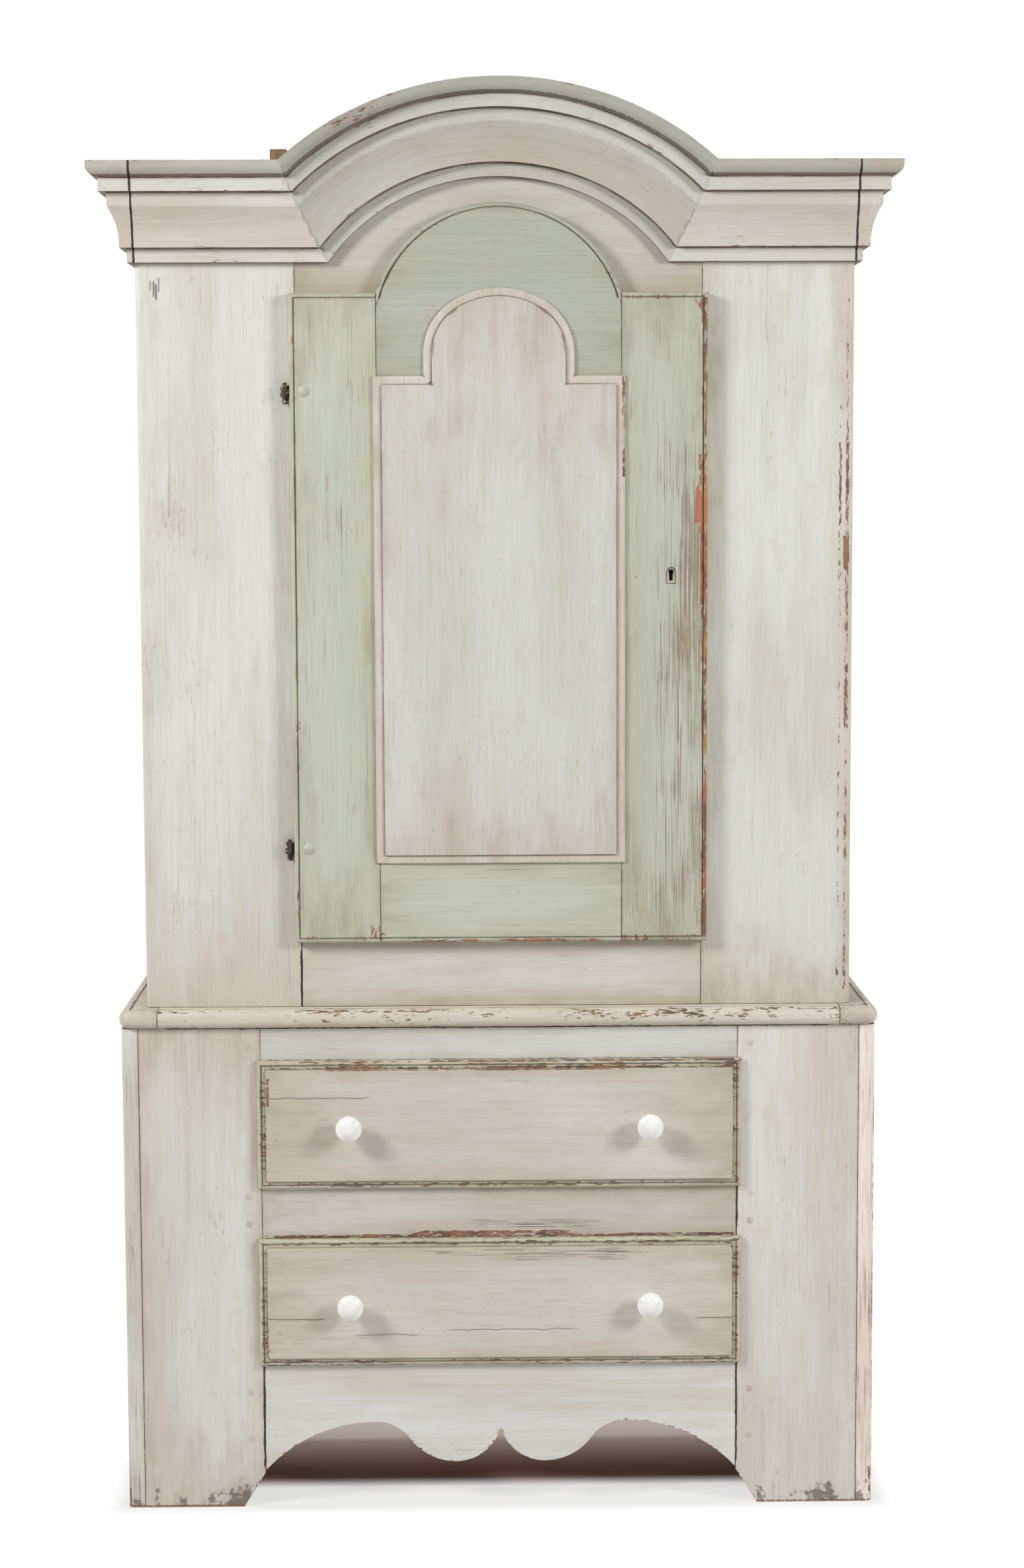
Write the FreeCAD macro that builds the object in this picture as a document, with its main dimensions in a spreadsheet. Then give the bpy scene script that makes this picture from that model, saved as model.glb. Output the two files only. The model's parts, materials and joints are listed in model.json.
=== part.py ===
import FreeCAD, Part
import math
import os
import types

import Sketcher

# Driving sizes in millimetres, kept in the sheet.
DIMENSIONS = {
    # Base case
    "base_ledge": 35,
    "base_depth": 500,
    "base_height": 711,
    "base_side_thickness": 24,
    "base_side_rounding": 7,
    "base_frame_thickness": 26,
    "base_top_rail_height": 53,
    "base_middle_rail_height": 84.5,
    "drawer_opening_width": 690,
    "base_top_board_thickness": 18,
    "base_back_lift": 90,
    "board_housing_depth": 8,
    "back_board_thickness": 12,
    "back_rebate_width": 12,
    # Apron and feet
    "apron_top_height": 217.5,
    "apron_end_height": 53,
    "apron_crest_height": 125.5,
    "apron_crest_offset": 182,
    "apron_crest_radius": 60,
    "apron_lobe_height": 65.5,
    "apron_lobe_offset": 65,
    "apron_cusp_height": 116,
    "foot_cut_height": 50,
    "foot_cut_width": 31,
    "side_front_foot_depth": 110,
    "side_rear_foot_depth": 90,
    "side_arch_height": 60,
    "side_arch_radius": 70,
    # Frame joints
    "tenon_length": 45,
    "tenon_thickness": 9,
    "tenon_shoulder": 10,
    "tympanum_tenon_height": 90,
    "peg_radius": 4.5,
    "peg_length": 24,
    "peg_inset": 19,
    "peg_proud": 0.3,
    # Drawers
    "drawer_overlap": 5.5,
    "drawer_gap": 0.4,
    "drawer_clearance": 1.5,
    "drawer_running_gap": 0.3,
    "drawer_lip_thickness": 8,
    "drawer_field_rise": 4,
    "drawer_lip_border": 12.5,
    "drawer_lip_rounding": 5,
    "drawer_field_rounding": 1.2,
    "drawer_block_thickness": 14,
    "drawer_box_depth": 420,
    "drawer_side_thickness": 12,
    "drawer_top_drop": 6,
    "drawer_back_drop": 14,
    "drawer_bottom_thickness": 8,
    "drawer_bottom_lift": 8,
    "drawer_groove_depth": 5,
    "dovetail_length": 11,
    "dovetail_flare": 4,
    "dovetail_root_width": 24,
    "quirk_inset": 6,
    "quirk_width": 1.6,
    "quirk_depth": 1.4,
    "runner_bearing": 32,
    "runner_height": 24,
    "guide_width": 30,
    "guide_height": 24,
    # Knobs
    "knob_offset": 217,
    "knob_radius": 18.9,
    "knob_length": 34,
    "knob_neck_radius": 9.5,
    "knob_foot_radius": 12,
    "knob_rim_length": 9,
    "knob_rim_inset": 2.5,
    "knob_crown_height": 7,
    "knob_bolt_radius": 2.6,
    "knob_bolt_depth": 20,
    "knob_bolt_tail": 8,
    "knob_nut_radius": 6.5,
    "knob_nut_height": 4,
    # Waist moulding
    "waist_height": 27,
    "waist_front_overhang": 12,
    "waist_side_overhang": 3,
    "waist_board_width": 56,
    "waist_corner_radius": 18,
    "waist_nose_radius": 12.5,
    "waist_quirk_inset": 15,
    # Upper case
    "case_width": 1020,
    "case_setback": 20,
    "case_side_thickness": 20,
    "case_frame_thickness": 26,
    "case_corner_rounding": 9,
    "case_bottom_rail_height": 103,
    "case_board_thickness": 18,
    "door_centre_offset": 4,
    "door_opening_width": 578,
    "door_opening_side_height": 910,
    "opening_arch_radius": 175,
    "opening_arch_drop": 49,
    "frieze_height": 50.5,
    "shelf_thickness": 18,
    "shelf_setback": 45,
    "cleat_height": 30,
    "cleat_thickness": 18,
    # Cornice
    "cornice_lower_fillet_height": 20,
    "cornice_cove_height": 57.5,
    "cornice_fascia_height": 18,
    "cornice_upper_fillet_height": 19.5,
    "cornice_ovolo_height": 12.5,
    "cornice_cap_height": 9.5,
    "cornice_lower_fillet_reach": 9.5,
    "cornice_cove_reach": 19,
    "cornice_fascia_reach": 34.5,
    "cornice_upper_fillet_reach": 44.5,
    "cornice_reach": 60,
    "cornice_cove_radius": 100,
    "cornice_ovolo_radius": 16,
    "cornice_arch_radius": 261.4,
    "cornice_arch_rise": 119,
    "cornice_lap": 13.5,
    "batten_width": 24,
    "batten_height": 38,
    "batten_left_offset": 311,
    "batten_right_offset": 257,
    "batten_rear_gap": 60,
    # Door
    "door_overlap": 7.5,
    "door_gap": 0.4,
    "door_clearance": 2,
    "door_lip_thickness": 17.6,
    "door_block_thickness": 8.4,
    "door_bottom_rail_height": 119.5,
    "door_bead_rounding": 4.5,
    "door_tenon_length": 55,
    "door_tenon_thickness": 8,
    "panel_shoulder_drop": 121.5,
    "panel_arch_half_width": 102,
    "panel_arch_stilt": 35.7,
    "panel_crown_radius": 123,
    "panel_haunch_radius": 83,
    "panel_lip_overlap": 5,
    "panel_lip_thickness": 4,
    "panel_lip_border": 12.4,
    "panel_lip_rounding": 2.6,
    "panel_field_rise": 3,
    "panel_field_rounding": 1,
    "panel_tongue_length": 8,
    "panel_tongue_thickness": 6,
    "panel_tongue_setback": 10,
    "panel_back_inset": 4,
    # Hinges
    "hinge_inset": 137,
    "hinge_axis_gap": 7,
    "hinge_axis_reach": 7,
    "knuckle_radius": 6.2,
    "knuckle_height": 16,
    "hinge_pin_radius": 2.8,
    "hinge_pin_tip": 4,
    "hinge_pin_clearance": 0.08,
    "pintle_radius": 3.5,
    "pintle_shank_radius": 3,
    "pintle_drop": 10,
    "pintle_embed": 20,
    "pintle_gap": 0.2,
    "hinge_leaf_length": 45,
    "hinge_leaf_thickness": 3,
    "rivet_inset": 20.7,
    "rivet_head_radius": 8.3,
    "rivet_head_height": 3.2,
    "rivet_shank_radius": 2.5,
    # Lock
    "keyhole_inset": 52.5,
    "keyhole_height": 531,
    "keyhole_radius": 3.3,
    "keyhole_slot_width": 4.2,
    "keyhole_slot_drop": 12,
    "escutcheon_radius": 6.3,
    "escutcheon_foot_width": 14,
    "escutcheon_drop": 16.3,
    "escutcheon_proud": 0.5,
    "lock_width": 64,
    "lock_lower_height": 48,
    "lock_upper_height": 42,
    "lock_thickness": 13,
    "lock_edge_gap": 1,
    "lock_wall": 3,
    "bolt_length": 40,
    "bolt_height": 18,
    "bolt_lift": 8,
    "bolt_clearance": 0.3,
    "bolt_recess": 0.5,
    "bolt_mortise_depth": 12,
    "bolt_mortise_clearance": 1,
    # Tool lengths that run past the faces they cut
    "overrun": 5,
}

# Places chosen along the sizes they follow.
MIDDLE_RAIL_PEG_SHARES = (0.315, 0.8)
APRON_PEG_SHARES = (0.3, 0.72)
TOP_RAIL_PEG_SHARES = (0.5,)
TYMPANUM_TENON_SHARE = 0.35
DOVETAIL_SHARES = (0.17, 0.5, 0.83)
SHELF_SHARES = (0.25, 0.5, 0.75)
BACK_BOARD_SHARES = (0.0, 0.34, 0.67, 1.0)
BASE_BACK_SHARES = (0.0, 0.48, 1.0)
MITRE_MIDDLE_SHARE = 0.5
ARCH_WIDTH_SHARE = 1.08
ARCH_HEIGHT_SHARE = 0.962

# Points closer than this are one point.
SAME_PLACE = 1e-4

SHEET_NAME = "sizes"
FULL_TURN = 360
HALF_TURN = 180
QUARTER_TURN = 90


class Size:
    """A length carried as a number and as the sheet expression that gives it."""

    def __init__(self, value, text):
        self.value = value
        self.text = text

    def __add__(self, other):
        other = as_size(other)
        return Size(self.value + other.value, "(%s + %s)" % (self.text, other.text))

    def __sub__(self, other):
        other = as_size(other)
        return Size(self.value - other.value, "(%s - %s)" % (self.text, other.text))

    def __mul__(self, other):
        other = as_size(other)
        return Size(self.value * other.value, "(%s * %s)" % (self.text, other.text))

    def __rmul__(self, other):
        return as_size(other) * self

    def __truediv__(self, other):
        other = as_size(other)
        return Size(self.value / other.value, "(%s / %s)" % (self.text, other.text))

    def __neg__(self):
        return Size(-self.value, "(0 - %s)" % self.text)


def as_size(item):
    """Turns a plain number into a size."""
    if isinstance(item, Size):
        return item
    return Size(float(item), "(%r)" % float(item))


def root(size):
    """Square root of a size."""
    return Size(math.sqrt(size.value), "sqrt(%s)" % size.text)


def squared(size):
    """Square of a size."""
    return Size(size.value * size.value, "(%s)^2" % size.text)


def cap_radius(half_width, height):
    """The radius of an arc or cap with this half width and height."""
    return (squared(half_width) + squared(height)) / (height * 2)


def hypotenuse_leg(radius, leg):
    """The other leg of a right triangle with this hypotenuse and leg."""
    return root(squared(radius) - squared(leg))


doc = FreeCAD.newDocument("bonnetiere_cabinet")
sheet = doc.addObject("Spreadsheet::Sheet", SHEET_NAME)
for row, (alias, number) in enumerate(DIMENSIONS.items(), start=1):
    sheet.set("A%d" % row, alias)
    sheet.set("B%d" % row, str(number))
    sheet.setAlias("B%d" % row, alias)
doc.recompute()

d = types.SimpleNamespace()
for alias in DIMENSIONS:
    setattr(d, alias, Size(float(sheet.get(alias)), "%s.%s" % (SHEET_NAME, alias)))

ZERO = as_size(0)
NODES = []


def bind(thing, prop, size):
    """Binds a property to a size."""
    thing.setExpression(prop, as_size(size).text)


def place(thing, x=ZERO, y=ZERO, z=ZERO):
    """Binds the position of an object."""
    for axis, size in (("x", x), ("y", y), ("z", z)):
        bind(thing, "Placement.Base." + axis, size)


def block(name, x_span, y_span, z_span):
    """A board between two values on each axis."""
    box = doc.addObject("Part::Box", name)
    for prop, span in (("Length", x_span), ("Width", y_span), ("Height", z_span)):
        bind(box, prop, as_size(span[1]) - as_size(span[0]))
    place(box, x_span[0], y_span[0], z_span[0])
    return box


def rod(name, radius, length, x, y, z, direction="z"):
    """A round bar that starts at a point and runs along +z or +y."""
    cylinder = doc.addObject("Part::Cylinder", name)
    bind(cylinder, "Radius", radius)
    bind(cylinder, "Height", length)
    if direction == "y":
        cylinder.Placement.Rotation = FreeCAD.Rotation(FreeCAD.Vector(1, 0, 0), -QUARTER_TURN)
    place(cylinder, x, y, z)
    return cylinder


def cut(name, base, *tools):
    """Takes each tool out of the base."""
    result = base
    for tool in tools:
        step = doc.addObject("Part::Cut", name + "_cut")
        step.Base = result
        step.Tool = tool
        step.Refine = True
        result = step
    return result


def fuse(name, *pieces):
    """Joins pieces into one solid."""
    result = pieces[0]
    for piece in pieces[1:]:
        step = doc.addObject("Part::Fuse", name + "_joined")
        step.Base = result
        step.Tool = piece
        step.Refine = True
        result = step
    return result


def common(name, first, second):
    """What two pieces share."""
    result = doc.addObject("Part::Common", name)
    result.Base = first
    result.Tool = second
    result.Refine = True
    return result


def mirror(name, source, centre=ZERO):
    """The same piece on the other side of an upright plane."""
    result = doc.addObject("Part::Mirroring", name)
    result.Source = source
    result.Normal = FreeCAD.Vector(1, 0, 0)
    bind(result, "Base.x", centre)
    return result


def group(name, *pieces):
    """Separate solids kept together as one piece of hardware or a set."""
    result = doc.addObject("Part::Compound", name)
    result.Links = list(pieces)
    return result


def node(label, thing):
    """Names a finished piece and puts it on the list to write."""
    thing.Label = label
    NODES.append(thing)
    return thing


def new_body(name, x=ZERO, y=ZERO, z=ZERO):
    """An empty body at a place."""
    body = doc.addObject("PartDesign::Body", name)
    place(body, x, y, z)
    return body


def line(x, y):
    """A straight stroke to a point."""
    return ("line", as_size(x), as_size(y), None, None)


def arc(x, y, radius, turn):
    """An arc to a point; turn is 1 to the left and -1 to the right."""
    return ("arc", as_size(x), as_size(y), as_size(radius), turn)


def bow(x, y, via_x, via_y):
    """An arc to a point through another point."""
    return ("bow", as_size(x), as_size(y), as_size(via_x), as_size(via_y))


def arc_middle(start, end, radius, turn):
    """A point of the shorter arc between two points, as plain numbers."""
    chord_x, chord_y = end[0] - start[0], end[1] - start[1]
    chord = math.hypot(chord_x, chord_y)
    left_x, left_y = -chord_y / chord, chord_x / chord
    centre_reach = turn * math.sqrt(max(radius * radius - chord * chord / 4, 0))
    reach = centre_reach - turn * radius
    return (start[0] + end[0]) / 2 + left_x * reach, (start[1] + end[1]) / 2 + left_y * reach


def sketch(body, name, role, strokes):
    """A closed outline of strokes on a plane of the body, every point bound to the sheet."""
    drawing = body.newObject("Sketcher::SketchObject", name)
    plane = [item for item in body.Origin.OriginFeatures if item.Role == role][0]
    drawing.AttachmentSupport = (plane, [""])
    drawing.MapMode = "FlatFace"
    count = len(strokes)
    ends = [(stroke[1], stroke[2]) for stroke in strokes]
    spots = [(x.value, y.value) for x, y in ends]

    def vector(spot):
        return FreeCAD.Vector(spot[0], spot[1], 0)

    for index, stroke in enumerate(strokes):
        start, end = spots[index - 1], spots[index]
        if stroke[0] == "line":
            drawing.addGeometry(Part.LineSegment(vector(start), vector(end)), False)
        else:
            if stroke[0] == "arc":
                middle = arc_middle(start, end, stroke[3].value, stroke[4])
            else:
                middle = (stroke[3].value, stroke[4].value)
            drawing.addGeometry(Part.Arc(vector(start), vector(middle), vector(end)), False)

    def end_number(index, spot):
        first = drawing.getPoint(index, 1)
        second = drawing.getPoint(index, 2)
        return 1 if (first - vector(spot)).Length < (second - vector(spot)).Length else 2

    def fix(number, point_index, point, label):
        for axis, size in (("X", point[0]), ("Y", point[1])):
            if size.value == 0:
                drawing.addConstraint(Sketcher.Constraint(
                    "PointOnObject", number, point_index, -2 if axis == "X" else -1))
                continue
            place_name = "%s_%s" % (label, axis.lower())
            made = drawing.addConstraint(Sketcher.Constraint(
                "Distance" + axis, -1, 1, number, point_index, size.value))
            drawing.renameConstraint(made, place_name)
            drawing.setExpression("Constraints." + place_name, size.text)

    for index in range(count):
        following = (index + 1) % count
        drawing.addConstraint(Sketcher.Constraint(
            "Coincident", index, end_number(index, spots[index]),
            following, end_number(following, spots[index])))
        fix(index, end_number(index, spots[index]), ends[index], "corner_%d" % index)
    for index, stroke in enumerate(strokes):
        if stroke[0] == "arc":
            made = drawing.addConstraint(Sketcher.Constraint("Radius", index, stroke[3].value))
            drawing.renameConstraint(made, "bend_%d" % index)
            drawing.setExpression("Constraints.bend_%d" % index, stroke[3].text)
        if stroke[0] == "bow":
            spot = FreeCAD.Vector(stroke[3].value, stroke[4].value, 0)
            point = drawing.addGeometry(Part.Point(spot), True)
            fix(point, 1, (stroke[3], stroke[4]), "via_%d" % index)
            drawing.addConstraint(Sketcher.Constraint("PointOnObject", point, 1, index))
    return drawing


def pad(body, drawing, length, backwards=False):
    """Raises an outline into a solid."""
    feature = body.newObject("PartDesign::Pad", drawing.Name + "_pad")
    feature.Profile = drawing
    feature.Reversed = backwards
    bind(feature, "Length", length)
    drawing.Visibility = False
    return feature


def prism(name, role, strokes, length, x=ZERO, y=ZERO, z=ZERO, backwards=False):
    """A body raised from one outline."""
    body = new_body(name, x, y, z)
    pad(body, sketch(body, name + "_outline", role, strokes), length, backwards)
    return body


def revolution(name, role, strokes, axis, angle, x=ZERO, y=ZERO, z=ZERO, both_ways=False):
    """A body turned about an axis of its outline's plane."""
    body = new_body(name, x, y, z)
    drawing = sketch(body, name + "_outline", role, strokes)
    feature = body.newObject("PartDesign::Revolution", name + "_turned")
    feature.Profile = drawing
    feature.ReferenceAxis = (drawing, [axis])
    feature.Angle = angle
    feature.Midplane = both_ways
    return body


def round_edges(body, radius, is_chosen):
    """Rounds the edges of a body whose middle point passes the test."""
    doc.recompute()
    base = body.Tip
    names = []
    for number, edge in enumerate(base.Shape.Edges, start=1):
        middle = edge.valueAt((edge.FirstParameter + edge.LastParameter) / 2)
        ends = [vertex.Point for vertex in edge.Vertexes]
        if all(is_chosen(point) for point in ends + [middle]):
            names.append("Edge%d" % number)
    feature = body.newObject("PartDesign::Fillet", body.Name + "_rounding")
    feature.Base = (base, names)
    bind(feature, "Radius", radius)
    doc.recompute()
    return feature


def near(first, second):
    """Whether two numbers are the same length."""
    return math.isclose(first, second, rel_tol=0, abs_tol=SAME_PLACE)


# Planes and heights that several pieces share.
front_reach = d.drawer_gap + d.drawer_lip_thickness + d.drawer_field_rise + d.knob_length
base_front = (front_reach - d.base_depth) / 2
base_back = base_front + d.base_depth
board_front = base_back - d.back_board_thickness
case_front = base_front + d.case_setback
case_inside = case_front + d.case_frame_thickness
base_inside = base_front + d.base_frame_thickness
case_half = d.case_width / 2
base_half = case_half + d.base_ledge
drawer_half = d.drawer_opening_width / 2
lower_opening_bottom = d.apron_top_height
upper_opening_top = d.base_height - d.base_top_rail_height
drawer_opening_height = (upper_opening_top - lower_opening_bottom - d.base_middle_rail_height) / 2
lower_opening_top = lower_opening_bottom + drawer_opening_height
upper_opening_bottom = upper_opening_top - drawer_opening_height
waist_top = d.base_height + d.waist_height
opening_bottom = waist_top + d.case_bottom_rail_height
opening_shoulder = opening_bottom + d.door_opening_side_height
opening_half = d.door_opening_width / 2
arch_axis = opening_shoulder - d.opening_arch_drop
cornice_bottom = opening_shoulder + d.frieze_height
cornice_height = (d.cornice_lower_fillet_height + d.cornice_cove_height + d.cornice_fascia_height
                  + d.cornice_upper_fillet_height + d.cornice_ovolo_height + d.cornice_cap_height)
case_top = cornice_bottom + cornice_height - d.cornice_lap
cornice_axis = cornice_bottom + d.cornice_arch_rise - ARCH_HEIGHT_SHARE * d.cornice_arch_radius
door_centre = d.door_centre_offset

# Base frame: tenoned rails, apron and stiles.
tenon_front = base_front + (d.base_frame_thickness - d.tenon_thickness) / 2
tenon_span = (tenon_front, tenon_front + d.tenon_thickness)


def tenon_pair(name, half, length, centre, y_span, z_span):
    """The two tenons at the ends of a rail."""
    left = block(name + "_left", (centre - half - length, centre - half), y_span, z_span)
    right = block(name + "_right", (centre + half, centre + half + length), y_span, z_span)
    return left, right


base_rails = {}
base_tenons = []
base_pegs = []
for rail_name, rail_bottom, rail_top, peg_shares in (
        ("base_top_rail", upper_opening_top, d.base_height, TOP_RAIL_PEG_SHARES),
        ("base_middle_rail", lower_opening_top, upper_opening_bottom, MIDDLE_RAIL_PEG_SHARES),
        ("base_apron", d.apron_end_height, lower_opening_bottom, APRON_PEG_SHARES)):
    tenons = tenon_pair(rail_name + "_tenon", drawer_half, d.tenon_length, ZERO, tenon_span,
                        (rail_bottom + d.tenon_shoulder, rail_top - d.tenon_shoulder))
    pegs = []
    for peg_share in peg_shares:
        for side in (-1, 1):
            pegs.append(rod(rail_name + "_peg", d.peg_radius, d.peg_length,
                            side * (drawer_half + d.peg_inset), base_front - d.peg_proud,
                            rail_bottom + peg_share * (rail_top - rail_bottom), "y"))
    base_rails[rail_name] = (rail_bottom, rail_top, tenons, pegs)
    base_tenons.extend(tenons)
    base_pegs.extend(pegs)

for rail_name in ("base_top_rail", "base_middle_rail"):
    rail_bottom, rail_top, tenons, pegs = base_rails[rail_name]
    rail = block(rail_name + "_board", (-drawer_half, drawer_half), (base_front, base_inside),
                 (rail_bottom, rail_top))
    node(rail_name, cut(rail_name, fuse(rail_name + "_tenoned", rail, *tenons), *pegs))

crest_to_lobe = d.apron_crest_offset - d.apron_lobe_offset
lobe_drop = d.apron_lobe_height - d.apron_crest_height + d.apron_crest_radius
lobe_radius = ((squared(crest_to_lobe) + squared(lobe_drop) - squared(d.apron_crest_radius))
               / ((d.apron_crest_radius - lobe_drop) * 2))
bend_share = d.apron_crest_radius / (d.apron_crest_radius + lobe_radius)
bend_x = d.apron_crest_offset - crest_to_lobe * bend_share
crest_axis = d.apron_crest_height - d.apron_crest_radius
bend_z = crest_axis + (d.apron_lobe_height + lobe_radius - crest_axis) * bend_share
end_run = drawer_half - d.apron_crest_offset
end_fall = d.apron_crest_height - d.apron_end_height
end_radius = cap_radius(end_run, end_fall)
cusp_rise = d.apron_cusp_height - d.apron_lobe_height
cusp_radius = cap_radius(d.apron_lobe_offset, cusp_rise)
apron = prism("apron_board", "XZ_Plane", [
    line(-drawer_half, d.apron_end_height),
    arc(-d.apron_crest_offset, d.apron_crest_height, end_radius, -1),
    arc(-bend_x, bend_z, d.apron_crest_radius, -1),
    arc(-d.apron_lobe_offset, d.apron_lobe_height, lobe_radius, 1),
    arc(0, d.apron_cusp_height, cusp_radius, 1),
    arc(d.apron_lobe_offset, d.apron_lobe_height, cusp_radius, 1),
    arc(bend_x, bend_z, lobe_radius, 1),
    arc(d.apron_crest_offset, d.apron_crest_height, d.apron_crest_radius, -1),
    arc(drawer_half, d.apron_end_height, end_radius, -1),
    line(drawer_half, lower_opening_bottom),
    line(-drawer_half, lower_opening_bottom),
], d.base_frame_thickness, y=base_inside)
apron_tenons, apron_pegs = base_rails["base_apron"][2:]
node("base_apron", cut("base_apron", fuse("apron_tenoned", apron, *apron_tenons), *apron_pegs))

stile_outer = base_half - d.base_side_thickness
base_stile = prism("base_stile_board", "XZ_Plane", [
    line(-stile_outer, 0),
    line(-drawer_half - d.foot_cut_width, 0),
    line(-drawer_half, d.foot_cut_height),
    line(-drawer_half, d.base_height),
    line(-stile_outer, d.base_height),
], d.base_frame_thickness, y=base_inside)
left_tenons = base_tenons[0::2]
left_pegs = base_pegs[0::2]
base_stile_left = node("base_stile_left", cut("base_stile_left", base_stile, *left_tenons, *left_pegs))
node("base_stile_right", mirror("base_stile_right", base_stile_left))
node("frame_pegs", group("frame_pegs", *base_pegs))

# Base sides, top board and back boards.
base_board_half = base_half - d.base_side_thickness + d.board_housing_depth
base_top_board = node("base_top_board", block(
    "base_top_board", (-base_board_half, base_board_half), (base_inside, board_front),
    (d.base_height - d.base_top_board_thickness, d.base_height)))
base_back_half = base_half - d.base_side_thickness + d.back_rebate_width
base_back_height = d.base_height - d.base_back_lift
base_backs = []
for label, low_share, high_share in zip(("base_back_lower", "base_back_upper"), BASE_BACK_SHARES,
                                        BASE_BACK_SHARES[1:]):
    back_low = d.base_back_lift + low_share * base_back_height
    back_high = d.base_back_lift + high_share * base_back_height
    base_backs.append(node(label, block(
        label, (-base_back_half, base_back_half), (board_front, base_back), (back_low, back_high))))

base_side = prism("base_side_board", "XY_Plane", [
    arc(d.base_side_rounding, 0, d.base_side_rounding, 1),
    line(d.base_side_thickness, 0),
    line(d.base_side_thickness, d.base_depth),
    line(0, d.base_depth),
    line(0, d.base_side_rounding),
], d.base_height, x=-base_half, y=base_front)
arch_run = hypotenuse_leg(d.side_arch_radius, d.side_arch_radius - d.side_arch_height)
side_arch_front = d.side_front_foot_depth
side_arch_rear = d.base_depth - d.side_rear_foot_depth
side_arch = prism("base_side_arch", "YZ_Plane", [
    line(side_arch_front, -d.overrun),
    line(side_arch_rear, -d.overrun),
    line(side_arch_rear, 0),
    arc(side_arch_rear - arch_run, d.side_arch_height, d.side_arch_radius, 1),
    line(side_arch_front + arch_run, d.side_arch_height),
    arc(side_arch_front, 0, d.side_arch_radius, 1),
], d.base_side_thickness + d.overrun * 2, x=-base_half - d.overrun, y=base_front)
base_side_left = node("base_side_left", cut(
    "base_side_left", base_side, side_arch, base_top_board, *base_backs))
node("base_side_right", mirror("base_side_right", base_side_left))

# Drawer runners with guides, behind the rails.
for label, runner_top in (("upper_drawer_runners", upper_opening_bottom),
                          ("lower_drawer_runners", lower_opening_bottom)):
    runner_outer = -drawer_half - d.guide_width
    bearer = block(label + "_bearer", (runner_outer, -drawer_half + d.runner_bearing),
                   (base_inside, board_front), (runner_top - d.runner_height, runner_top))
    guide = block(label + "_guide", (runner_outer, -drawer_half), (base_inside, board_front),
                  (runner_top, runner_top + d.guide_height))
    runner_left = fuse(label + "_left", bearer, guide)
    node(label, group(label, runner_left, mirror(label + "_right", runner_left)))

# Waist moulding: the side boards run through to the front, the front board butts between them.
waist_outer = base_half + d.waist_side_overhang
waist_inner = waist_outer - d.waist_board_width
waist_front = base_front - d.waist_front_overhang
waist_rear = waist_front + d.waist_board_width
quirk_far = d.waist_quirk_inset + d.quirk_width
waist_depth = base_back - waist_front
waist_side = prism("waist_side_board", "XY_Plane", [
    arc(d.waist_corner_radius, 0, d.waist_corner_radius, 1),
    line(d.waist_board_width, 0),
    line(d.waist_board_width, waist_depth),
    line(0, waist_depth),
    line(0, d.waist_corner_radius),
], d.waist_height, x=-waist_outer, y=waist_front)


def is_waist_edge(point):
    """Whether a point lies on the outer edge of the side board, above or below."""
    if not (near(point.z, 0) or near(point.z, d.waist_height.value)):
        return False
    radius = d.waist_corner_radius.value
    reach = radius + SAME_PLACE
    on_side = near(point.x, 0)
    on_front = near(point.y, 0)
    on_corner = near(math.hypot(point.x - radius, point.y - radius), radius)
    return on_side or on_front or (on_corner and point.x < reach and point.y < reach)


round_edges(waist_side, d.waist_nose_radius, is_waist_edge)
quirk_radius_near = d.waist_corner_radius - d.waist_quirk_inset
quirk_bottom = d.waist_height - d.quirk_depth
waist_quirk = prism("waist_side_quirk", "XY_Plane", [
    line(d.waist_board_width + d.overrun, d.waist_quirk_inset),
    line(d.waist_board_width + d.overrun, quirk_far),
    line(quirk_far, quirk_far),
    line(quirk_far, waist_depth + d.overrun),
    line(d.waist_quirk_inset, waist_depth + d.overrun),
    line(d.waist_quirk_inset, d.waist_corner_radius),
    arc(d.waist_corner_radius, d.waist_quirk_inset, quirk_radius_near, 1),
], d.quirk_depth + d.overrun, x=-waist_outer, y=waist_front, z=d.base_height + quirk_bottom)
place(waist_side, -waist_outer, waist_front, d.base_height)
waist_left = node("waist_moulding_left", cut("waist_moulding_left", waist_side, waist_quirk))
node("waist_moulding_right", mirror("waist_moulding_right", waist_left))

waist_front_piece = prism("waist_front_board", "YZ_Plane", [
    line(d.waist_board_width, 0),
    line(d.waist_board_width, d.waist_height),
    line(quirk_far, d.waist_height),
    line(quirk_far, quirk_bottom),
    line(d.waist_quirk_inset, quirk_bottom),
    line(d.waist_quirk_inset, d.waist_height),
    line(d.waist_nose_radius, d.waist_height),
    arc(0, d.waist_height - d.waist_nose_radius, d.waist_nose_radius, 1),
    line(0, d.waist_nose_radius),
    arc(d.waist_nose_radius, 0, d.waist_nose_radius, 1),
], waist_inner * 2, x=-waist_inner, y=waist_front, z=d.base_height)
node("waist_moulding_front", waist_front_piece)

# Upper case boards.
case_board_half = case_half - d.case_side_thickness + d.board_housing_depth
case_inner_half = case_half - d.case_side_thickness
case_bottom_board = node("case_bottom_board", block(
    "case_bottom_board", (-case_board_half, case_board_half), (case_inside, board_front),
    (opening_bottom - d.case_board_thickness, opening_bottom)))
case_top_board = node("case_top_board", block(
    "case_top_board", (-case_board_half, case_board_half), (case_inside, board_front),
    (case_top - d.case_board_thickness, case_top)))
case_back_half = case_half - d.case_side_thickness + d.back_rebate_width
case_backs = []
for label, left_share, right_share in zip(("case_back_left", "case_back_middle", "case_back_right"),
                                          BACK_BOARD_SHARES, BACK_BOARD_SHARES[1:]):
    back_left = left_share * (case_back_half * 2) - case_back_half
    back_right = right_share * (case_back_half * 2) - case_back_half
    case_backs.append(node(label, block(
        label, (back_left, back_right), (board_front, base_back), (waist_top, case_top))))
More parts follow.
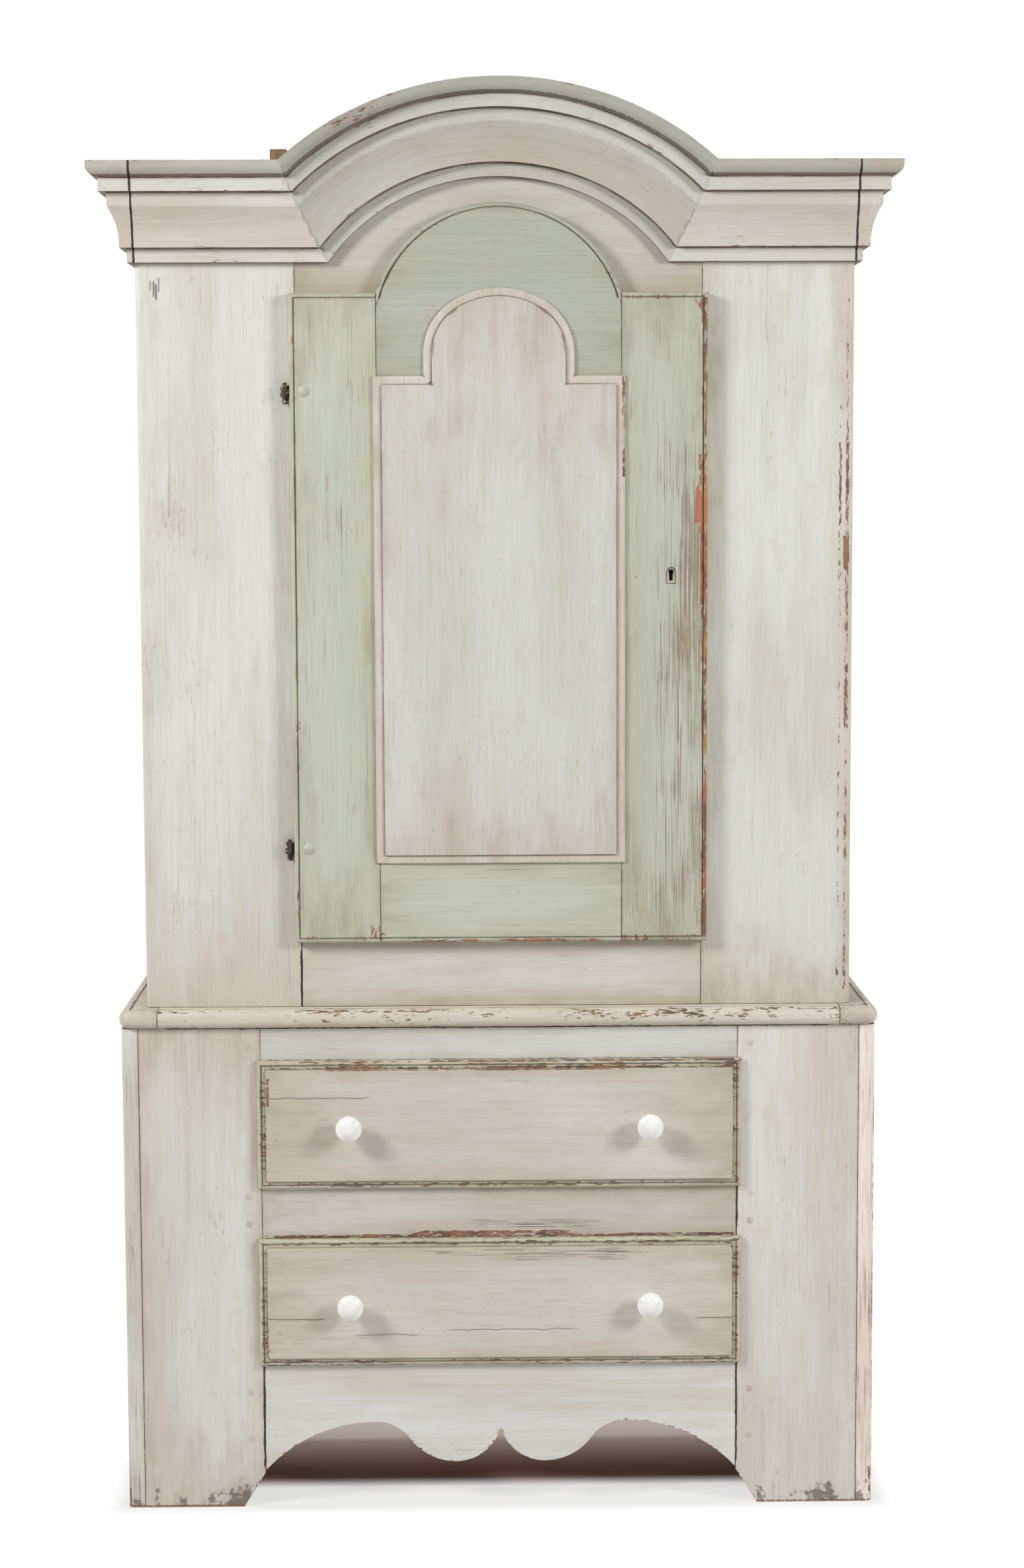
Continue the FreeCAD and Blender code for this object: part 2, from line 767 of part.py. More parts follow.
case_side = block("case_side_board", (-case_half, -case_inner_half), (case_inside, base_back),
                  (waist_top, case_top))
case_side_left = node("case_side_left", cut(
    "case_side_left", case_side, case_bottom_board, case_top_board, case_backs[0]))
node("case_side_right", mirror("case_side_right", case_side_left))

inside_bottom = opening_bottom
inside_top = case_top - d.case_board_thickness
cleats = []
for label, shelf_share in zip(("shelf_lower", "shelf_middle", "shelf_upper"), SHELF_SHARES):
    shelf_top = inside_bottom + shelf_share * (inside_top - inside_bottom)
    shelf_bottom = shelf_top - d.shelf_thickness
    shelf_span = (case_inside + d.shelf_setback, board_front)
    node(label, block(label, (-case_inner_half, case_inner_half), shelf_span, (shelf_bottom, shelf_top)))
    cleat = block(label + "_cleat", (-case_inner_half, -case_inner_half + d.cleat_thickness), shelf_span,
                  (shelf_bottom - d.cleat_height, shelf_bottom))
    cleats.extend((cleat, mirror(label + "_cleat_right", cleat)))
node("shelf_cleats", group("shelf_cleats", *cleats))

# Upper case front frame.
case_tenon_front = case_front + (d.case_frame_thickness - d.tenon_thickness) / 2
case_tenon_span = (case_tenon_front, case_tenon_front + d.tenon_thickness)
bottom_tenons = tenon_pair("case_bottom_tenon", opening_half, d.tenon_length, door_centre, case_tenon_span,
                           (waist_top + d.tenon_shoulder, opening_bottom - d.tenon_shoulder))
bottom_rail = block("case_bottom_rail_board", (door_centre - opening_half, door_centre + opening_half),
                    (case_front, case_inside), (waist_top, opening_bottom))
node("case_bottom_rail", fuse("case_bottom_rail", bottom_rail, *bottom_tenons))

arch_outer = d.cornice_arch_radius + cornice_height
tympanum_apex = cornice_axis + ARCH_HEIGHT_SHARE * arch_outer - d.cornice_lap
tympanum_end = (cornice_axis - d.cornice_lap
                + ARCH_HEIGHT_SHARE * hypotenuse_leg(arch_outer, opening_half / ARCH_WIDTH_SHARE))
tympanum_radius = cap_radius(opening_half, tympanum_apex - tympanum_end)
opening_chord = hypotenuse_leg(d.opening_arch_radius, d.opening_arch_drop)
tympanum_tenon_low = opening_shoulder + TYMPANUM_TENON_SHARE * (case_top - opening_shoulder)
tympanum_tenons = tenon_pair("tympanum_tenon", opening_half, d.tenon_length, door_centre, case_tenon_span,
                             (tympanum_tenon_low, tympanum_tenon_low + d.tympanum_tenon_height))
tympanum = prism("tympanum_board", "XZ_Plane", [
    line(-opening_half, opening_shoulder),
    line(-opening_chord, opening_shoulder),
    arc(opening_chord, opening_shoulder, d.opening_arch_radius, -1),
    line(opening_half, opening_shoulder),
    line(opening_half, tympanum_end),
    arc(-opening_half, tympanum_end, tympanum_radius, 1),
], d.case_frame_thickness, x=door_centre, y=case_inside)
node("case_tympanum", fuse("case_tympanum", tympanum, *tympanum_tenons))

# Hinge axes and the pintles driven into the left case stile.
door_half = opening_half + d.door_overlap
door_bottom = opening_bottom - d.door_overlap
door_shoulder = opening_shoulder + d.door_overlap
door_left = door_centre - door_half
door_right = door_centre + door_half
hinge_x = door_left - d.hinge_axis_gap
hinge_y = case_front - d.hinge_axis_reach
hinge_heights = (("lower", door_bottom + d.hinge_inset), ("upper", door_shoulder - d.hinge_inset))
pintles = []
pintle_shanks = []
knuckles = []
knuckle_cuts = []
rivets = []
rivet_shanks = []
door_lip_back = case_front - d.door_gap
door_front = door_lip_back - d.door_lip_thickness
door_back = door_lip_back + d.door_block_thickness
for place_name, hinge_z in hinge_heights:
    knuckle_bottom = hinge_z - d.knuckle_height / 2
    pintle_bottom = knuckle_bottom - d.pintle_drop
    pin_length = d.pintle_drop + d.knuckle_height + d.hinge_pin_tip
    base_bar = rod(place_name + "_pintle_base", d.pintle_radius, d.pintle_drop - d.pintle_gap,
                   hinge_x, hinge_y, pintle_bottom)
    pin = rod(place_name + "_pintle_pin", d.hinge_pin_radius, pin_length, hinge_x, hinge_y, pintle_bottom)
    shank = rod(place_name + "_pintle_shank", d.pintle_shank_radius, d.hinge_axis_reach + d.pintle_embed,
                hinge_x, hinge_y, pintle_bottom + d.pintle_drop / 2, "y")
    pintles.append(fuse(place_name + "_pintle", base_bar, pin, shank))
    pintle_shanks.append(shank)
    barrel = rod(place_name + "_barrel", d.knuckle_radius, d.knuckle_height,
                 hinge_x, hinge_y, knuckle_bottom)
    leaf_front = hinge_y - d.hinge_leaf_thickness / 2
    leaf = block(place_name + "_leaf", (hinge_x, hinge_x + d.hinge_leaf_length),
                 (leaf_front, leaf_front + d.hinge_leaf_thickness),
                 (knuckle_bottom, knuckle_bottom + d.knuckle_height))
    bore = rod(place_name + "_bore", d.hinge_pin_radius + d.hinge_pin_clearance,
               d.knuckle_height + d.overrun * 2, hinge_x, hinge_y, knuckle_bottom - d.overrun)
    rivet_x = door_left + d.rivet_inset
    rivet_shank = rod(place_name + "_rivet_shank", d.rivet_shank_radius, door_back - door_front,
                      rivet_x, door_front, hinge_z, "y")
    head = revolution(place_name + "_rivet_head", "YZ_Plane", [
        line(0, 0),
        line(0, d.rivet_head_radius),
        arc(-d.rivet_head_height, 0, cap_radius(d.rivet_head_radius, d.rivet_head_height), 1),
    ], "H_Axis", FULL_TURN, x=rivet_x, y=door_front, z=hinge_z)
    eye = fuse(place_name + "_eye", barrel, leaf)
    knuckles.append(cut(place_name + "_knuckle", eye, bore, rivet_shank))
    knuckle_cuts.append(leaf)
    rivets.append(fuse(place_name + "_rivet", head, rivet_shank))
    rivet_shanks.append(rivet_shank)
node("hinge_pintles", group("hinge_pintles", *pintles))
node("hinge_knuckles", group("hinge_knuckles", *knuckles))
node("hinge_rivets", group("hinge_rivets", *rivets))

# Lock: case and bolt behind the right door stile, mortise in the right case stile.
keyhole_x = door_right - d.keyhole_inset
keyhole_z = door_bottom + d.keyhole_height
lock_right = door_right - d.door_overlap - d.door_clearance - d.lock_edge_gap
lock_span = (door_back, door_back + d.lock_thickness)
bolt_span_y = (door_back + d.lock_wall, door_back + d.lock_thickness - d.lock_wall)
bolt_span_x = (lock_right - d.bolt_recess - d.bolt_length, lock_right - d.bolt_recess)
bolt_span_z = (keyhole_z + d.bolt_lift, keyhole_z + d.bolt_lift + d.bolt_height)
node("lock_bolt", block("lock_bolt", bolt_span_x, bolt_span_y, bolt_span_z))
bolt_channel = block(
    "bolt_channel", (bolt_span_x[0] - d.bolt_clearance, lock_right + d.overrun),
    (bolt_span_y[0] - d.bolt_clearance, bolt_span_y[1] + d.bolt_clearance),
    (bolt_span_z[0] - d.bolt_clearance, bolt_span_z[1] + d.bolt_clearance))
slot_half = d.keyhole_slot_width / 2
slot_rise = hypotenuse_leg(d.keyhole_radius, slot_half)
key_tool = prism("keyhole_tool", "XZ_Plane", [
    line(-slot_half, -d.keyhole_slot_drop),
    line(slot_half, -d.keyhole_slot_drop),
    line(slot_half, -slot_rise),
    bow(-slot_half, -slot_rise, 0, d.keyhole_radius),
], door_back + d.lock_wall - door_front + d.overrun, x=keyhole_x, y=door_back + d.lock_wall, z=keyhole_z)
lock_box = block("lock_box", (lock_right - d.lock_width, lock_right), lock_span,
                 (keyhole_z - d.lock_lower_height, keyhole_z + d.lock_upper_height))
node("lock_case", cut("lock_case", lock_box, bolt_channel, key_tool))
opening_right = door_centre + opening_half
bolt_mortise = block(
    "bolt_mortise", (opening_right - d.overrun, opening_right + d.bolt_mortise_depth),
    (bolt_span_y[0] - d.bolt_mortise_clearance, bolt_span_y[1] + d.bolt_mortise_clearance),
    (bolt_span_z[0] - d.bolt_mortise_clearance, bolt_span_z[1] + d.bolt_mortise_clearance))
escutcheon_foot = d.escutcheon_foot_width / 2
escutcheon_plug = prism("escutcheon_plug", "XZ_Plane", [
    line(-escutcheon_foot, -d.escutcheon_drop),
    line(escutcheon_foot, -d.escutcheon_drop),
    line(d.escutcheon_radius, 0),
    bow(-d.escutcheon_radius, 0, 0, d.escutcheon_radius),
], d.door_lip_thickness + d.escutcheon_proud, x=keyhole_x, y=door_lip_back, z=keyhole_z)
node("keyhole_escutcheon", cut("keyhole_escutcheon", escutcheon_plug, key_tool))


def case_stile_board(name, width, turned):
    """A case stile with a rounded outer corner, as seen from above."""
    rounding = d.case_corner_rounding
    if turned:
        strokes = [
            line(0, 0),
            line(width - rounding, 0),
            arc(width, rounding, rounding, 1),
            line(width, d.case_frame_thickness),
            line(0, d.case_frame_thickness),
        ]
        start = case_half - width
    else:
        strokes = [
            arc(rounding, 0, rounding, 1),
            line(width, 0),
            line(width, d.case_frame_thickness),
            line(0, d.case_frame_thickness),
            line(0, rounding),
        ]
        start = -case_half
    return prism(name, "XY_Plane", strokes, case_top - waist_top, x=start, y=case_front, z=waist_top)


left_stile = case_stile_board("case_stile_left_board", case_half + door_centre - opening_half, False)
node("case_stile_left", cut(
    "case_stile_left", left_stile, bottom_tenons[0], tympanum_tenons[0], *pintle_shanks))
right_stile = case_stile_board("case_stile_right_board", case_half - door_centre - opening_half, True)
node("case_stile_right", cut(
    "case_stile_right", right_stile, bottom_tenons[1], tympanum_tenons[1], bolt_mortise))

# Cornice: straight front pieces, a curved piece mitred between them and a return on each side.
fillet_top = d.cornice_lower_fillet_height
cove_top = fillet_top + d.cornice_cove_height
fascia_top = cove_top + d.cornice_fascia_height
upper_fillet_top = fascia_top + d.cornice_upper_fillet_height
ovolo_top = upper_fillet_top + d.cornice_ovolo_height


def cornice_profile(lift):
    """The cornice section, with its back upright on the axis; lift raises it from the axis."""
    return [
        line(0, lift),
        line(-d.cornice_lower_fillet_reach, lift),
        line(-d.cornice_lower_fillet_reach, lift + fillet_top),
        line(-d.cornice_cove_reach, lift + fillet_top),
        arc(-d.cornice_fascia_reach, lift + cove_top, d.cornice_cove_radius, 1),
        line(-d.cornice_fascia_reach, lift + fascia_top),
        line(-d.cornice_upper_fillet_reach, lift + fascia_top),
        line(-d.cornice_upper_fillet_reach, lift + upper_fillet_top),
        arc(-d.cornice_reach, lift + ovolo_top, d.cornice_ovolo_radius, -1),
        line(-d.cornice_reach, lift + cornice_height),
        line(0, lift + cornice_height),
    ]


def mitre_reach(height):
    """Half the width of the arch where straight and curved pieces meet at a height."""
    arch_height = (cornice_bottom - cornice_axis + height) / ARCH_HEIGHT_SHARE
    return ARCH_WIDTH_SHARE * hypotenuse_leg(d.cornice_arch_radius + height, arch_height)


mitre_foot = mitre_reach(ZERO)
mitre_head = mitre_reach(cornice_height)
mitre_height = MITRE_MIDDLE_SHARE * cornice_height
mitre_middle = mitre_reach(mitre_height)
mitre_top = cornice_height + d.cornice_arch_rise + d.overrun
mitre_block = prism("cornice_mitre_block", "XZ_Plane", [
    line(mitre_foot, 0),
    bow(mitre_head, cornice_height, mitre_middle, mitre_height),
    line(mitre_head, mitre_top),
    line(-mitre_head, mitre_top),
    line(-mitre_head, cornice_height),
    bow(-mitre_foot, 0, -mitre_middle, mitre_height),
], d.cornice_reach + d.overrun * 2, x=door_centre, y=case_front + d.overrun, z=cornice_bottom)
cornice_ring = revolution("cornice_ring", "YZ_Plane", cornice_profile(d.cornice_arch_radius), "H_Axis",
                          HALF_TURN, both_ways=True)
cornice_oval = doc.addObject("Part::Scale", "cornice_oval")
cornice_oval.Base = cornice_ring
cornice_oval.Uniform = False
bind(cornice_oval, "XScale", ARCH_WIDTH_SHARE)
bind(cornice_oval, "ZScale", ARCH_HEIGHT_SHARE)
place(cornice_oval, door_centre, case_front, cornice_axis)
node("cornice_arch", common("cornice_arch", cornice_oval, mitre_block))
front_length = case_half + door_centre
cornice_left_bar = prism("cornice_left_bar", "YZ_Plane", cornice_profile(ZERO), front_length,
                         x=-case_half, y=case_front, z=cornice_bottom)
node("cornice_front_left", cut("cornice_front_left", cornice_left_bar, mitre_block))
cornice_right_bar = prism("cornice_right_bar", "YZ_Plane", cornice_profile(ZERO), case_half - door_centre,
                          x=door_centre, y=case_front, z=cornice_bottom)
node("cornice_front_right", cut("cornice_front_right", cornice_right_bar, mitre_block))

return_corner = prism("cornice_return_corner", "XZ_Plane", cornice_profile(ZERO), d.cornice_reach,
                      x=-case_half, y=case_front, z=cornice_bottom)
corner_front = prism("cornice_corner_front", "YZ_Plane", cornice_profile(ZERO), d.cornice_reach,
                     x=-case_half - d.cornice_reach, y=case_front, z=cornice_bottom)
return_rear = prism("cornice_return_rear", "XZ_Plane", cornice_profile(ZERO), base_back - case_front,
                    x=-case_half, y=base_back, z=cornice_bottom)
corner = common("cornice_return_end", return_corner, corner_front)
return_left = node("cornice_return_left", fuse("cornice_return_left", corner, return_rear))
node("cornice_return_right", mirror("cornice_return_right", return_left))

# Battens on the top, behind the curved cornice piece.
battens = []
for batten_name, batten_centre in (("left", door_centre - d.batten_left_offset),
                                   ("right", door_centre + d.batten_right_offset)):
    batten_half = d.batten_width / 2
    battens.append(block("top_batten_" + batten_name,
                         (batten_centre - batten_half, batten_centre + batten_half),
                         (case_inside, base_back - d.batten_rear_gap),
                         (case_top, case_top + d.batten_height)))
node("top_battens", group("top_battens", *battens))

# Door frame and panel. Outlines are drawn from the middle of the door.
door_radius = d.opening_arch_radius + d.door_overlap
door_drop = d.opening_arch_drop + d.door_overlap
door_inner = hypotenuse_leg(door_radius, door_drop)
block_inset = d.door_overlap + d.door_clearance
panel_shoulder = door_shoulder - d.panel_shoulder_drop
panel_bottom = door_bottom + d.door_bottom_rail_height
panel_spring = panel_shoulder + d.panel_arch_stilt
radius_step = d.panel_crown_radius - d.panel_haunch_radius
haunch_x = d.panel_arch_half_width - d.panel_haunch_radius
crown_fall = hypotenuse_leg(radius_step, haunch_x)
crown_axis = panel_spring - crown_fall


def panel_joint(spread):
    """Where the crown arc of the panel meets its right haunch arc, for a panel grown by spread."""
    radius = d.panel_crown_radius + spread
    return radius * (haunch_x / radius_step), crown_axis + radius * (crown_fall / radius_step)


def panel_outline(spread):
    """The arched panel outline grown by spread on every side."""
    half = door_inner + spread
    arch = d.panel_arch_half_width + spread
    shoulder = panel_shoulder + spread
    joint_x, joint_z = panel_joint(spread)
    return [
        line(half, panel_bottom - spread),
        line(half, shoulder),
        line(arch, shoulder),
        line(arch, panel_spring),
        arc(joint_x, joint_z, d.panel_haunch_radius + spread, 1),
        arc(-joint_x, joint_z, d.panel_crown_radius + spread, 1),
        arc(-arch, panel_spring, d.panel_haunch_radius + spread, 1),
        line(-arch, shoulder),
        line(-half, shoulder),
        line(-half, panel_bottom - spread),
    ]


def arched_rail_outline(inset):
    """The arched top rail; inset draws in its arched upper edge."""
    joint_x, joint_z = panel_joint(ZERO)
    radius = door_radius - inset
    shoulder = door_shoulder - inset
    chord = hypotenuse_leg(radius, door_drop - inset)
    arch = d.panel_arch_half_width
    strokes = [
        line(-arch, panel_shoulder),
        line(-arch, panel_spring),
        arc(-joint_x, joint_z, d.panel_haunch_radius, -1),
        arc(joint_x, joint_z, d.panel_crown_radius, -1),
        arc(arch, panel_spring, d.panel_haunch_radius, -1),
        line(arch, panel_shoulder),
        line(door_inner, panel_shoulder),
        line(door_inner, shoulder),
    ]
    if inset is not ZERO:
        strokes.append(line(chord, shoulder))
    strokes.append(arc(-chord, shoulder, radius, 1))
    if inset is not ZERO:
        strokes.append(line(-door_inner, shoulder))
    strokes.append(line(-door_inner, panel_shoulder))
    return strokes


tongue = prism("panel_tongue", "XZ_Plane", panel_outline(d.panel_tongue_length), d.panel_tongue_thickness,
               x=door_centre, y=door_front + d.panel_tongue_setback + d.panel_tongue_thickness)
panel_body = new_body("panel_front", x=door_centre, y=door_front)
pad(panel_body, sketch(panel_body, "panel_lip", "XZ_Plane", panel_outline(d.panel_lip_overlap)),
    d.panel_lip_thickness)
round_edges(panel_body, d.panel_lip_rounding, lambda point: near(point.y, -d.panel_lip_thickness.value))
panel_rise = d.panel_lip_thickness + d.panel_field_rise
pad(panel_body, sketch(panel_body, "panel_field", "XZ_Plane",
                       panel_outline(d.panel_lip_overlap - d.panel_lip_border)), panel_rise)
round_edges(panel_body, d.panel_field_rounding, lambda point: near(point.y, -panel_rise.value))
panel_back = door_back - d.panel_back_inset
panel_core = prism("panel_core", "XZ_Plane", panel_outline(ZERO), panel_back - door_front,
                   x=door_centre, y=panel_back)
node("door_panel", fuse("door_panel", panel_body, panel_core, tongue))

door_tenon_front = door_front + (door_back - door_front - d.door_tenon_thickness) / 2
door_tenon_span = (door_tenon_front, door_tenon_front + d.door_tenon_thickness)
top_tenons = tenon_pair("door_top_tenon", door_inner, d.door_tenon_length, door_centre, door_tenon_span,
                        (panel_shoulder + d.panel_tongue_length + d.tenon_shoulder,
                         door_shoulder - block_inset - d.tenon_shoulder))
low_tenons = tenon_pair("door_bottom_tenon", door_inner, d.door_tenon_length, door_centre, door_tenon_span,
                        (door_bottom + block_inset + d.tenon_shoulder,
                         panel_bottom - d.panel_tongue_length - d.tenon_shoulder))

quirk_cut = (door_front - d.overrun, door_front + d.quirk_depth)
quirk_end = d.quirk_inset + d.quirk_width
quirk_low = block("door_quirk_low", (door_left + d.quirk_inset, door_right - d.quirk_inset), quirk_cut,
                  (door_bottom + d.quirk_inset, door_bottom + quirk_end))
quirk_left = block("door_quirk_left", (door_left + d.quirk_inset, door_left + quirk_end), quirk_cut,
                   (door_bottom + d.quirk_inset, door_shoulder - d.quirk_inset))
quirk_right = block("door_quirk_right", (door_right - quirk_end, door_right - d.quirk_inset), quirk_cut,
                    (door_bottom + d.quirk_inset, door_shoulder - d.quirk_inset))
quirk_top = (door_shoulder - quirk_end, door_shoulder - d.quirk_inset)
quirk_top_left = block("door_quirk_top_left", (door_left + d.quirk_inset, door_centre - door_inner),
                       quirk_cut, quirk_top)
quirk_top_right = block("door_quirk_top_right", (door_centre + door_inner, door_right - d.quirk_inset),
                        quirk_cut, quirk_top)
quirk_ring = cut(
    "door_quirk_ring",
    rod("door_quirk_outer", door_radius - d.quirk_inset, d.quirk_depth + d.overrun, door_centre,
        door_front - d.overrun, arch_axis, "y"),
    rod("door_quirk_inner", door_radius - quirk_end, d.quirk_depth + d.overrun, door_centre,
        door_front - d.overrun, arch_axis, "y"))
quirk_arch = common("door_quirk_arch", quirk_ring, block(
    "door_quirk_zone", (door_centre - door_inner, door_centre + door_inner), quirk_cut,
    (door_shoulder - quirk_end, door_shoulder + door_radius)))


def door_member(name, x_span, z_span, is_edge):
    """A straight door member: its lip is a rounded pad drawn from the middle of the door."""
    body = new_body(name, x=door_centre, y=door_lip_back)
    pad(body, sketch(body, name + "_outline", "XZ_Plane", [
        line(x_span[1], z_span[0]),
        line(x_span[1], z_span[1]),
        line(x_span[0], z_span[1]),
        line(x_span[0], z_span[0]),
    ]), d.door_lip_thickness)
    round_edges(body, d.door_bead_rounding,
                lambda point: near(point.y, -d.door_lip_thickness.value) and is_edge(point))
    return body


block_span_y = (door_lip_back, door_back)
for label, sign, tenon_number, quirks, extra_cuts in (
        ("door_stile_left", -1, 0, (quirk_left, quirk_top_left), knuckle_cuts + rivet_shanks),
        ("door_stile_right", 1, 1, (quirk_right, quirk_top_right), [escutcheon_plug, key_tool])):
    outer_edge = sign * door_half
    inner_edge = sign * door_inner
    member_span = (outer_edge, inner_edge) if sign < 0 else (inner_edge, outer_edge)

    def is_stile_edge(point, outer=outer_edge.value):
        """Whether a point lies on the outer side, the top or the foot of a stile."""
        on_end = near(point.z, door_shoulder.value) or near(point.z, door_bottom.value)
        return near(point.x, outer) or on_end

    lip = door_member(label + "_lip", member_span, (door_bottom, door_shoulder), is_stile_edge)
    block_outer = door_centre + sign * (door_half - block_inset)
    block_inner = door_centre + inner_edge
    block_span_x = (block_outer, block_inner) if sign < 0 else (block_inner, block_outer)
    back_block = block(label + "_block", block_span_x, block_span_y,
                       (door_bottom + block_inset, door_shoulder - block_inset))
    stile = fuse(label + "_board", lip, back_block)
    node(label, cut(label, stile, top_tenons[tenon_number], low_tenons[tenon_number],
                    tongue, quirk_low, *quirks, *extra_cuts))

low_lip = door_member("door_bottom_rail_lip", (-door_inner, door_inner), (door_bottom, panel_bottom),
                      lambda point: near(point.z, door_bottom.value))
low_block = block("door_bottom_rail_block", (door_centre - door_inner, door_centre + door_inner),
                  block_span_y, (door_bottom + block_inset, panel_bottom))
low_lipped = fuse("door_bottom_rail_lipped", low_lip, low_block)
low_rail = cut("door_bottom_rail_board", low_lipped, tongue, quirk_low)
node("door_bottom_rail", fuse("door_bottom_rail", low_rail, *low_tenons))

arched_lip = new_body("door_top_rail_lip", x=door_centre, y=door_lip_back)
pad(arched_lip, sketch(arched_lip, "door_top_rail_front", "XZ_Plane", arched_rail_outline(ZERO)),
    d.door_lip_thickness)
round_edges(arched_lip, d.door_bead_rounding, lambda point: (
    near(point.y, -d.door_lip_thickness.value)
    and near(math.hypot(point.x, point.z - arch_axis.value), door_radius.value)))
arched_block = prism("door_top_rail_block", "XZ_Plane", arched_rail_outline(block_inset),
                     d.door_block_thickness, x=door_centre, y=door_back)
top_lipped = fuse("door_top_rail_lipped", arched_lip, arched_block)
top_rail = cut("door_top_rail_board", top_lipped, tongue, quirk_arch)
node("door_top_rail", fuse("door_top_rail", top_rail, *top_tenons))

# Drawers: lipped front, dovetailed sides, back, bottom in grooves, knobs on bolts.
drawer_lip_back = base_front - d.drawer_gap
drawer_block_back = drawer_lip_back + d.drawer_block_thickness
drawer_rear = drawer_block_back + d.drawer_box_depth
box_half = drawer_half - d.drawer_clearance
field_rise = d.drawer_lip_thickness + d.drawer_field_rise
lip_half = drawer_half + d.drawer_overlap
field_front = drawer_lip_back - field_rise
rim_front = d.knob_length - d.knob_crown_height
rim_back = rim_front - d.knob_rim_length
rim_radius = d.knob_radius - d.knob_rim_inset


def ring_tool(name, half_width, low, high, inset, width, y_span):
    """A rectangular ring that follows an outline, drawn in by inset."""
    far = inset + width
    outer = block(name + "_outer", (inset - half_width, half_width - inset), y_span,
                  (low + inset, high - inset))
    inner = block(name + "_inner", (far - half_width, half_width - far), y_span, (low + far, high - far))
    return cut(name, outer, inner)


def rectangle(half_width, low, high):
    """A rectangle centred on the upright axis."""
    return [
        line(half_width, low),
        line(half_width, high),
        line(-half_width, high),
        line(-half_width, low),
    ]


for drawer_name, low in (("upper_drawer", upper_opening_bottom), ("lower_drawer", lower_opening_bottom)):
    high = low + drawer_opening_height
    side_low = low + d.drawer_running_gap
    side_high = high - d.drawer_top_drop
    side_height = side_high - side_low
    tail_half = d.dovetail_root_width / 2
    tail_end_half = tail_half + d.dovetail_flare
    side_strokes = [
        line(drawer_rear, side_low),
        line(drawer_rear, side_high),
        line(drawer_block_back, side_high),
    ]
    for tail_share in reversed(DOVETAIL_SHARES):
        tail_z = side_low + tail_share * side_height
        tail_tip = drawer_block_back - d.dovetail_length
        side_strokes += [
            line(drawer_block_back, tail_z + tail_half),
            line(tail_tip, tail_z + tail_end_half),
            line(tail_tip, tail_z - tail_end_half),
            line(drawer_block_back, tail_z - tail_half),
        ]
    side_strokes.append(line(drawer_block_back, side_low))
    side_board = prism(drawer_name + "_side_board", "YZ_Plane", side_strokes, d.drawer_side_thickness,
                       x=-box_half)
    inner_half = box_half - d.drawer_side_thickness
    groove_half = inner_half + d.drawer_groove_depth
    bottom_low = side_low + d.drawer_bottom_lift
    bottom_high = bottom_low + d.drawer_bottom_thickness
    bottom = node(drawer_name + "_bottom", block(
        drawer_name + "_bottom", (-groove_half, groove_half),
        (drawer_block_back - d.drawer_groove_depth, drawer_rear), (bottom_low, bottom_high)))
    side_left = cut(drawer_name + "_side_left", side_board, bottom)
    side_right = mirror(drawer_name + "_side_right", side_left)
    node(drawer_name + "_sides", group(drawer_name + "_sides", side_left, side_right))
    node(drawer_name + "_back", block(
        drawer_name + "_back", (-inner_half, inner_half),
        (drawer_rear - d.drawer_side_thickness, drawer_rear), (bottom_high, side_high - d.drawer_back_drop)))

    knob_z = (low + high) / 2
    knobs = []
    bolts = []
    bolt_rods = []
    for side in (-1, 1):
        knob_x = side * d.knob_offset
        bolt_start = field_front - d.knob_bolt_depth
        bolt_end = drawer_block_back + d.knob_bolt_tail
        bolt_rod = rod(drawer_name + "_bolt_rod", d.knob_bolt_radius, bolt_end - bolt_start,
                       knob_x, bolt_start, knob_z, "y")
        nut = rod(drawer_name + "_nut", d.knob_nut_radius, d.knob_nut_height,
                  knob_x, drawer_block_back, knob_z, "y")
        knob = revolution(drawer_name + "_knob_body", "YZ_Plane", [
            line(0, 0),
            line(0, d.knob_foot_radius),
            bow(-rim_back, rim_radius, -rim_back / 2, d.knob_neck_radius),
            bow(-rim_front, rim_radius, -(rim_back + rim_front) / 2, d.knob_radius),
            arc(-d.knob_length, 0, cap_radius(rim_radius, d.knob_crown_height), 1),
        ], "H_Axis", FULL_TURN, x=knob_x, y=field_front, z=knob_z)
        knobs.append(cut(drawer_name + "_knob", knob, bolt_rod))
        bolts.append(fuse(drawer_name + "_bolt", bolt_rod, nut))
        bolt_rods.append(bolt_rod)
    node(drawer_name + "_knobs", group(drawer_name + "_knobs", *knobs))
    node(drawer_name + "_knob_bolts", group(drawer_name + "_knob_bolts", *bolts))

    front_body = new_body(drawer_name + "_front_body", y=drawer_lip_back)
    lip_low = low - d.drawer_overlap
    lip_high = high + d.drawer_overlap
    lip_outline = rectangle(lip_half, lip_low, lip_high)
    pad(front_body, sketch(front_body, drawer_name + "_lip", "XZ_Plane", lip_outline), d.drawer_lip_thickness)
    round_edges(front_body, d.drawer_lip_rounding,
                lambda point: near(point.y, -d.drawer_lip_thickness.value))
    border = d.drawer_lip_border
    pad(front_body, sketch(front_body, drawer_name + "_field", "XZ_Plane",
                           rectangle(lip_half - border, lip_low + border, lip_high - border)), field_rise)
    round_edges(front_body, d.drawer_field_rounding, lambda point: near(point.y, -field_rise.value))
    front_block = block(drawer_name + "_front_block", (-box_half, box_half),
                        (drawer_lip_back, drawer_block_back),
                        (low + d.drawer_clearance, high - d.drawer_clearance))
    lip_quirk = ring_tool(drawer_name + "_quirk", lip_half, lip_low, lip_high, d.quirk_inset, d.quirk_width,
                          (drawer_lip_back - d.drawer_lip_thickness - d.overrun,
                           drawer_lip_back - d.drawer_lip_thickness + d.quirk_depth))
    node(drawer_name + "_front", cut(
        drawer_name + "_front", fuse(drawer_name + "_front_board", front_body, front_block),
        lip_quirk, side_left, side_right, bottom, *bolt_rods))

doc.recompute()

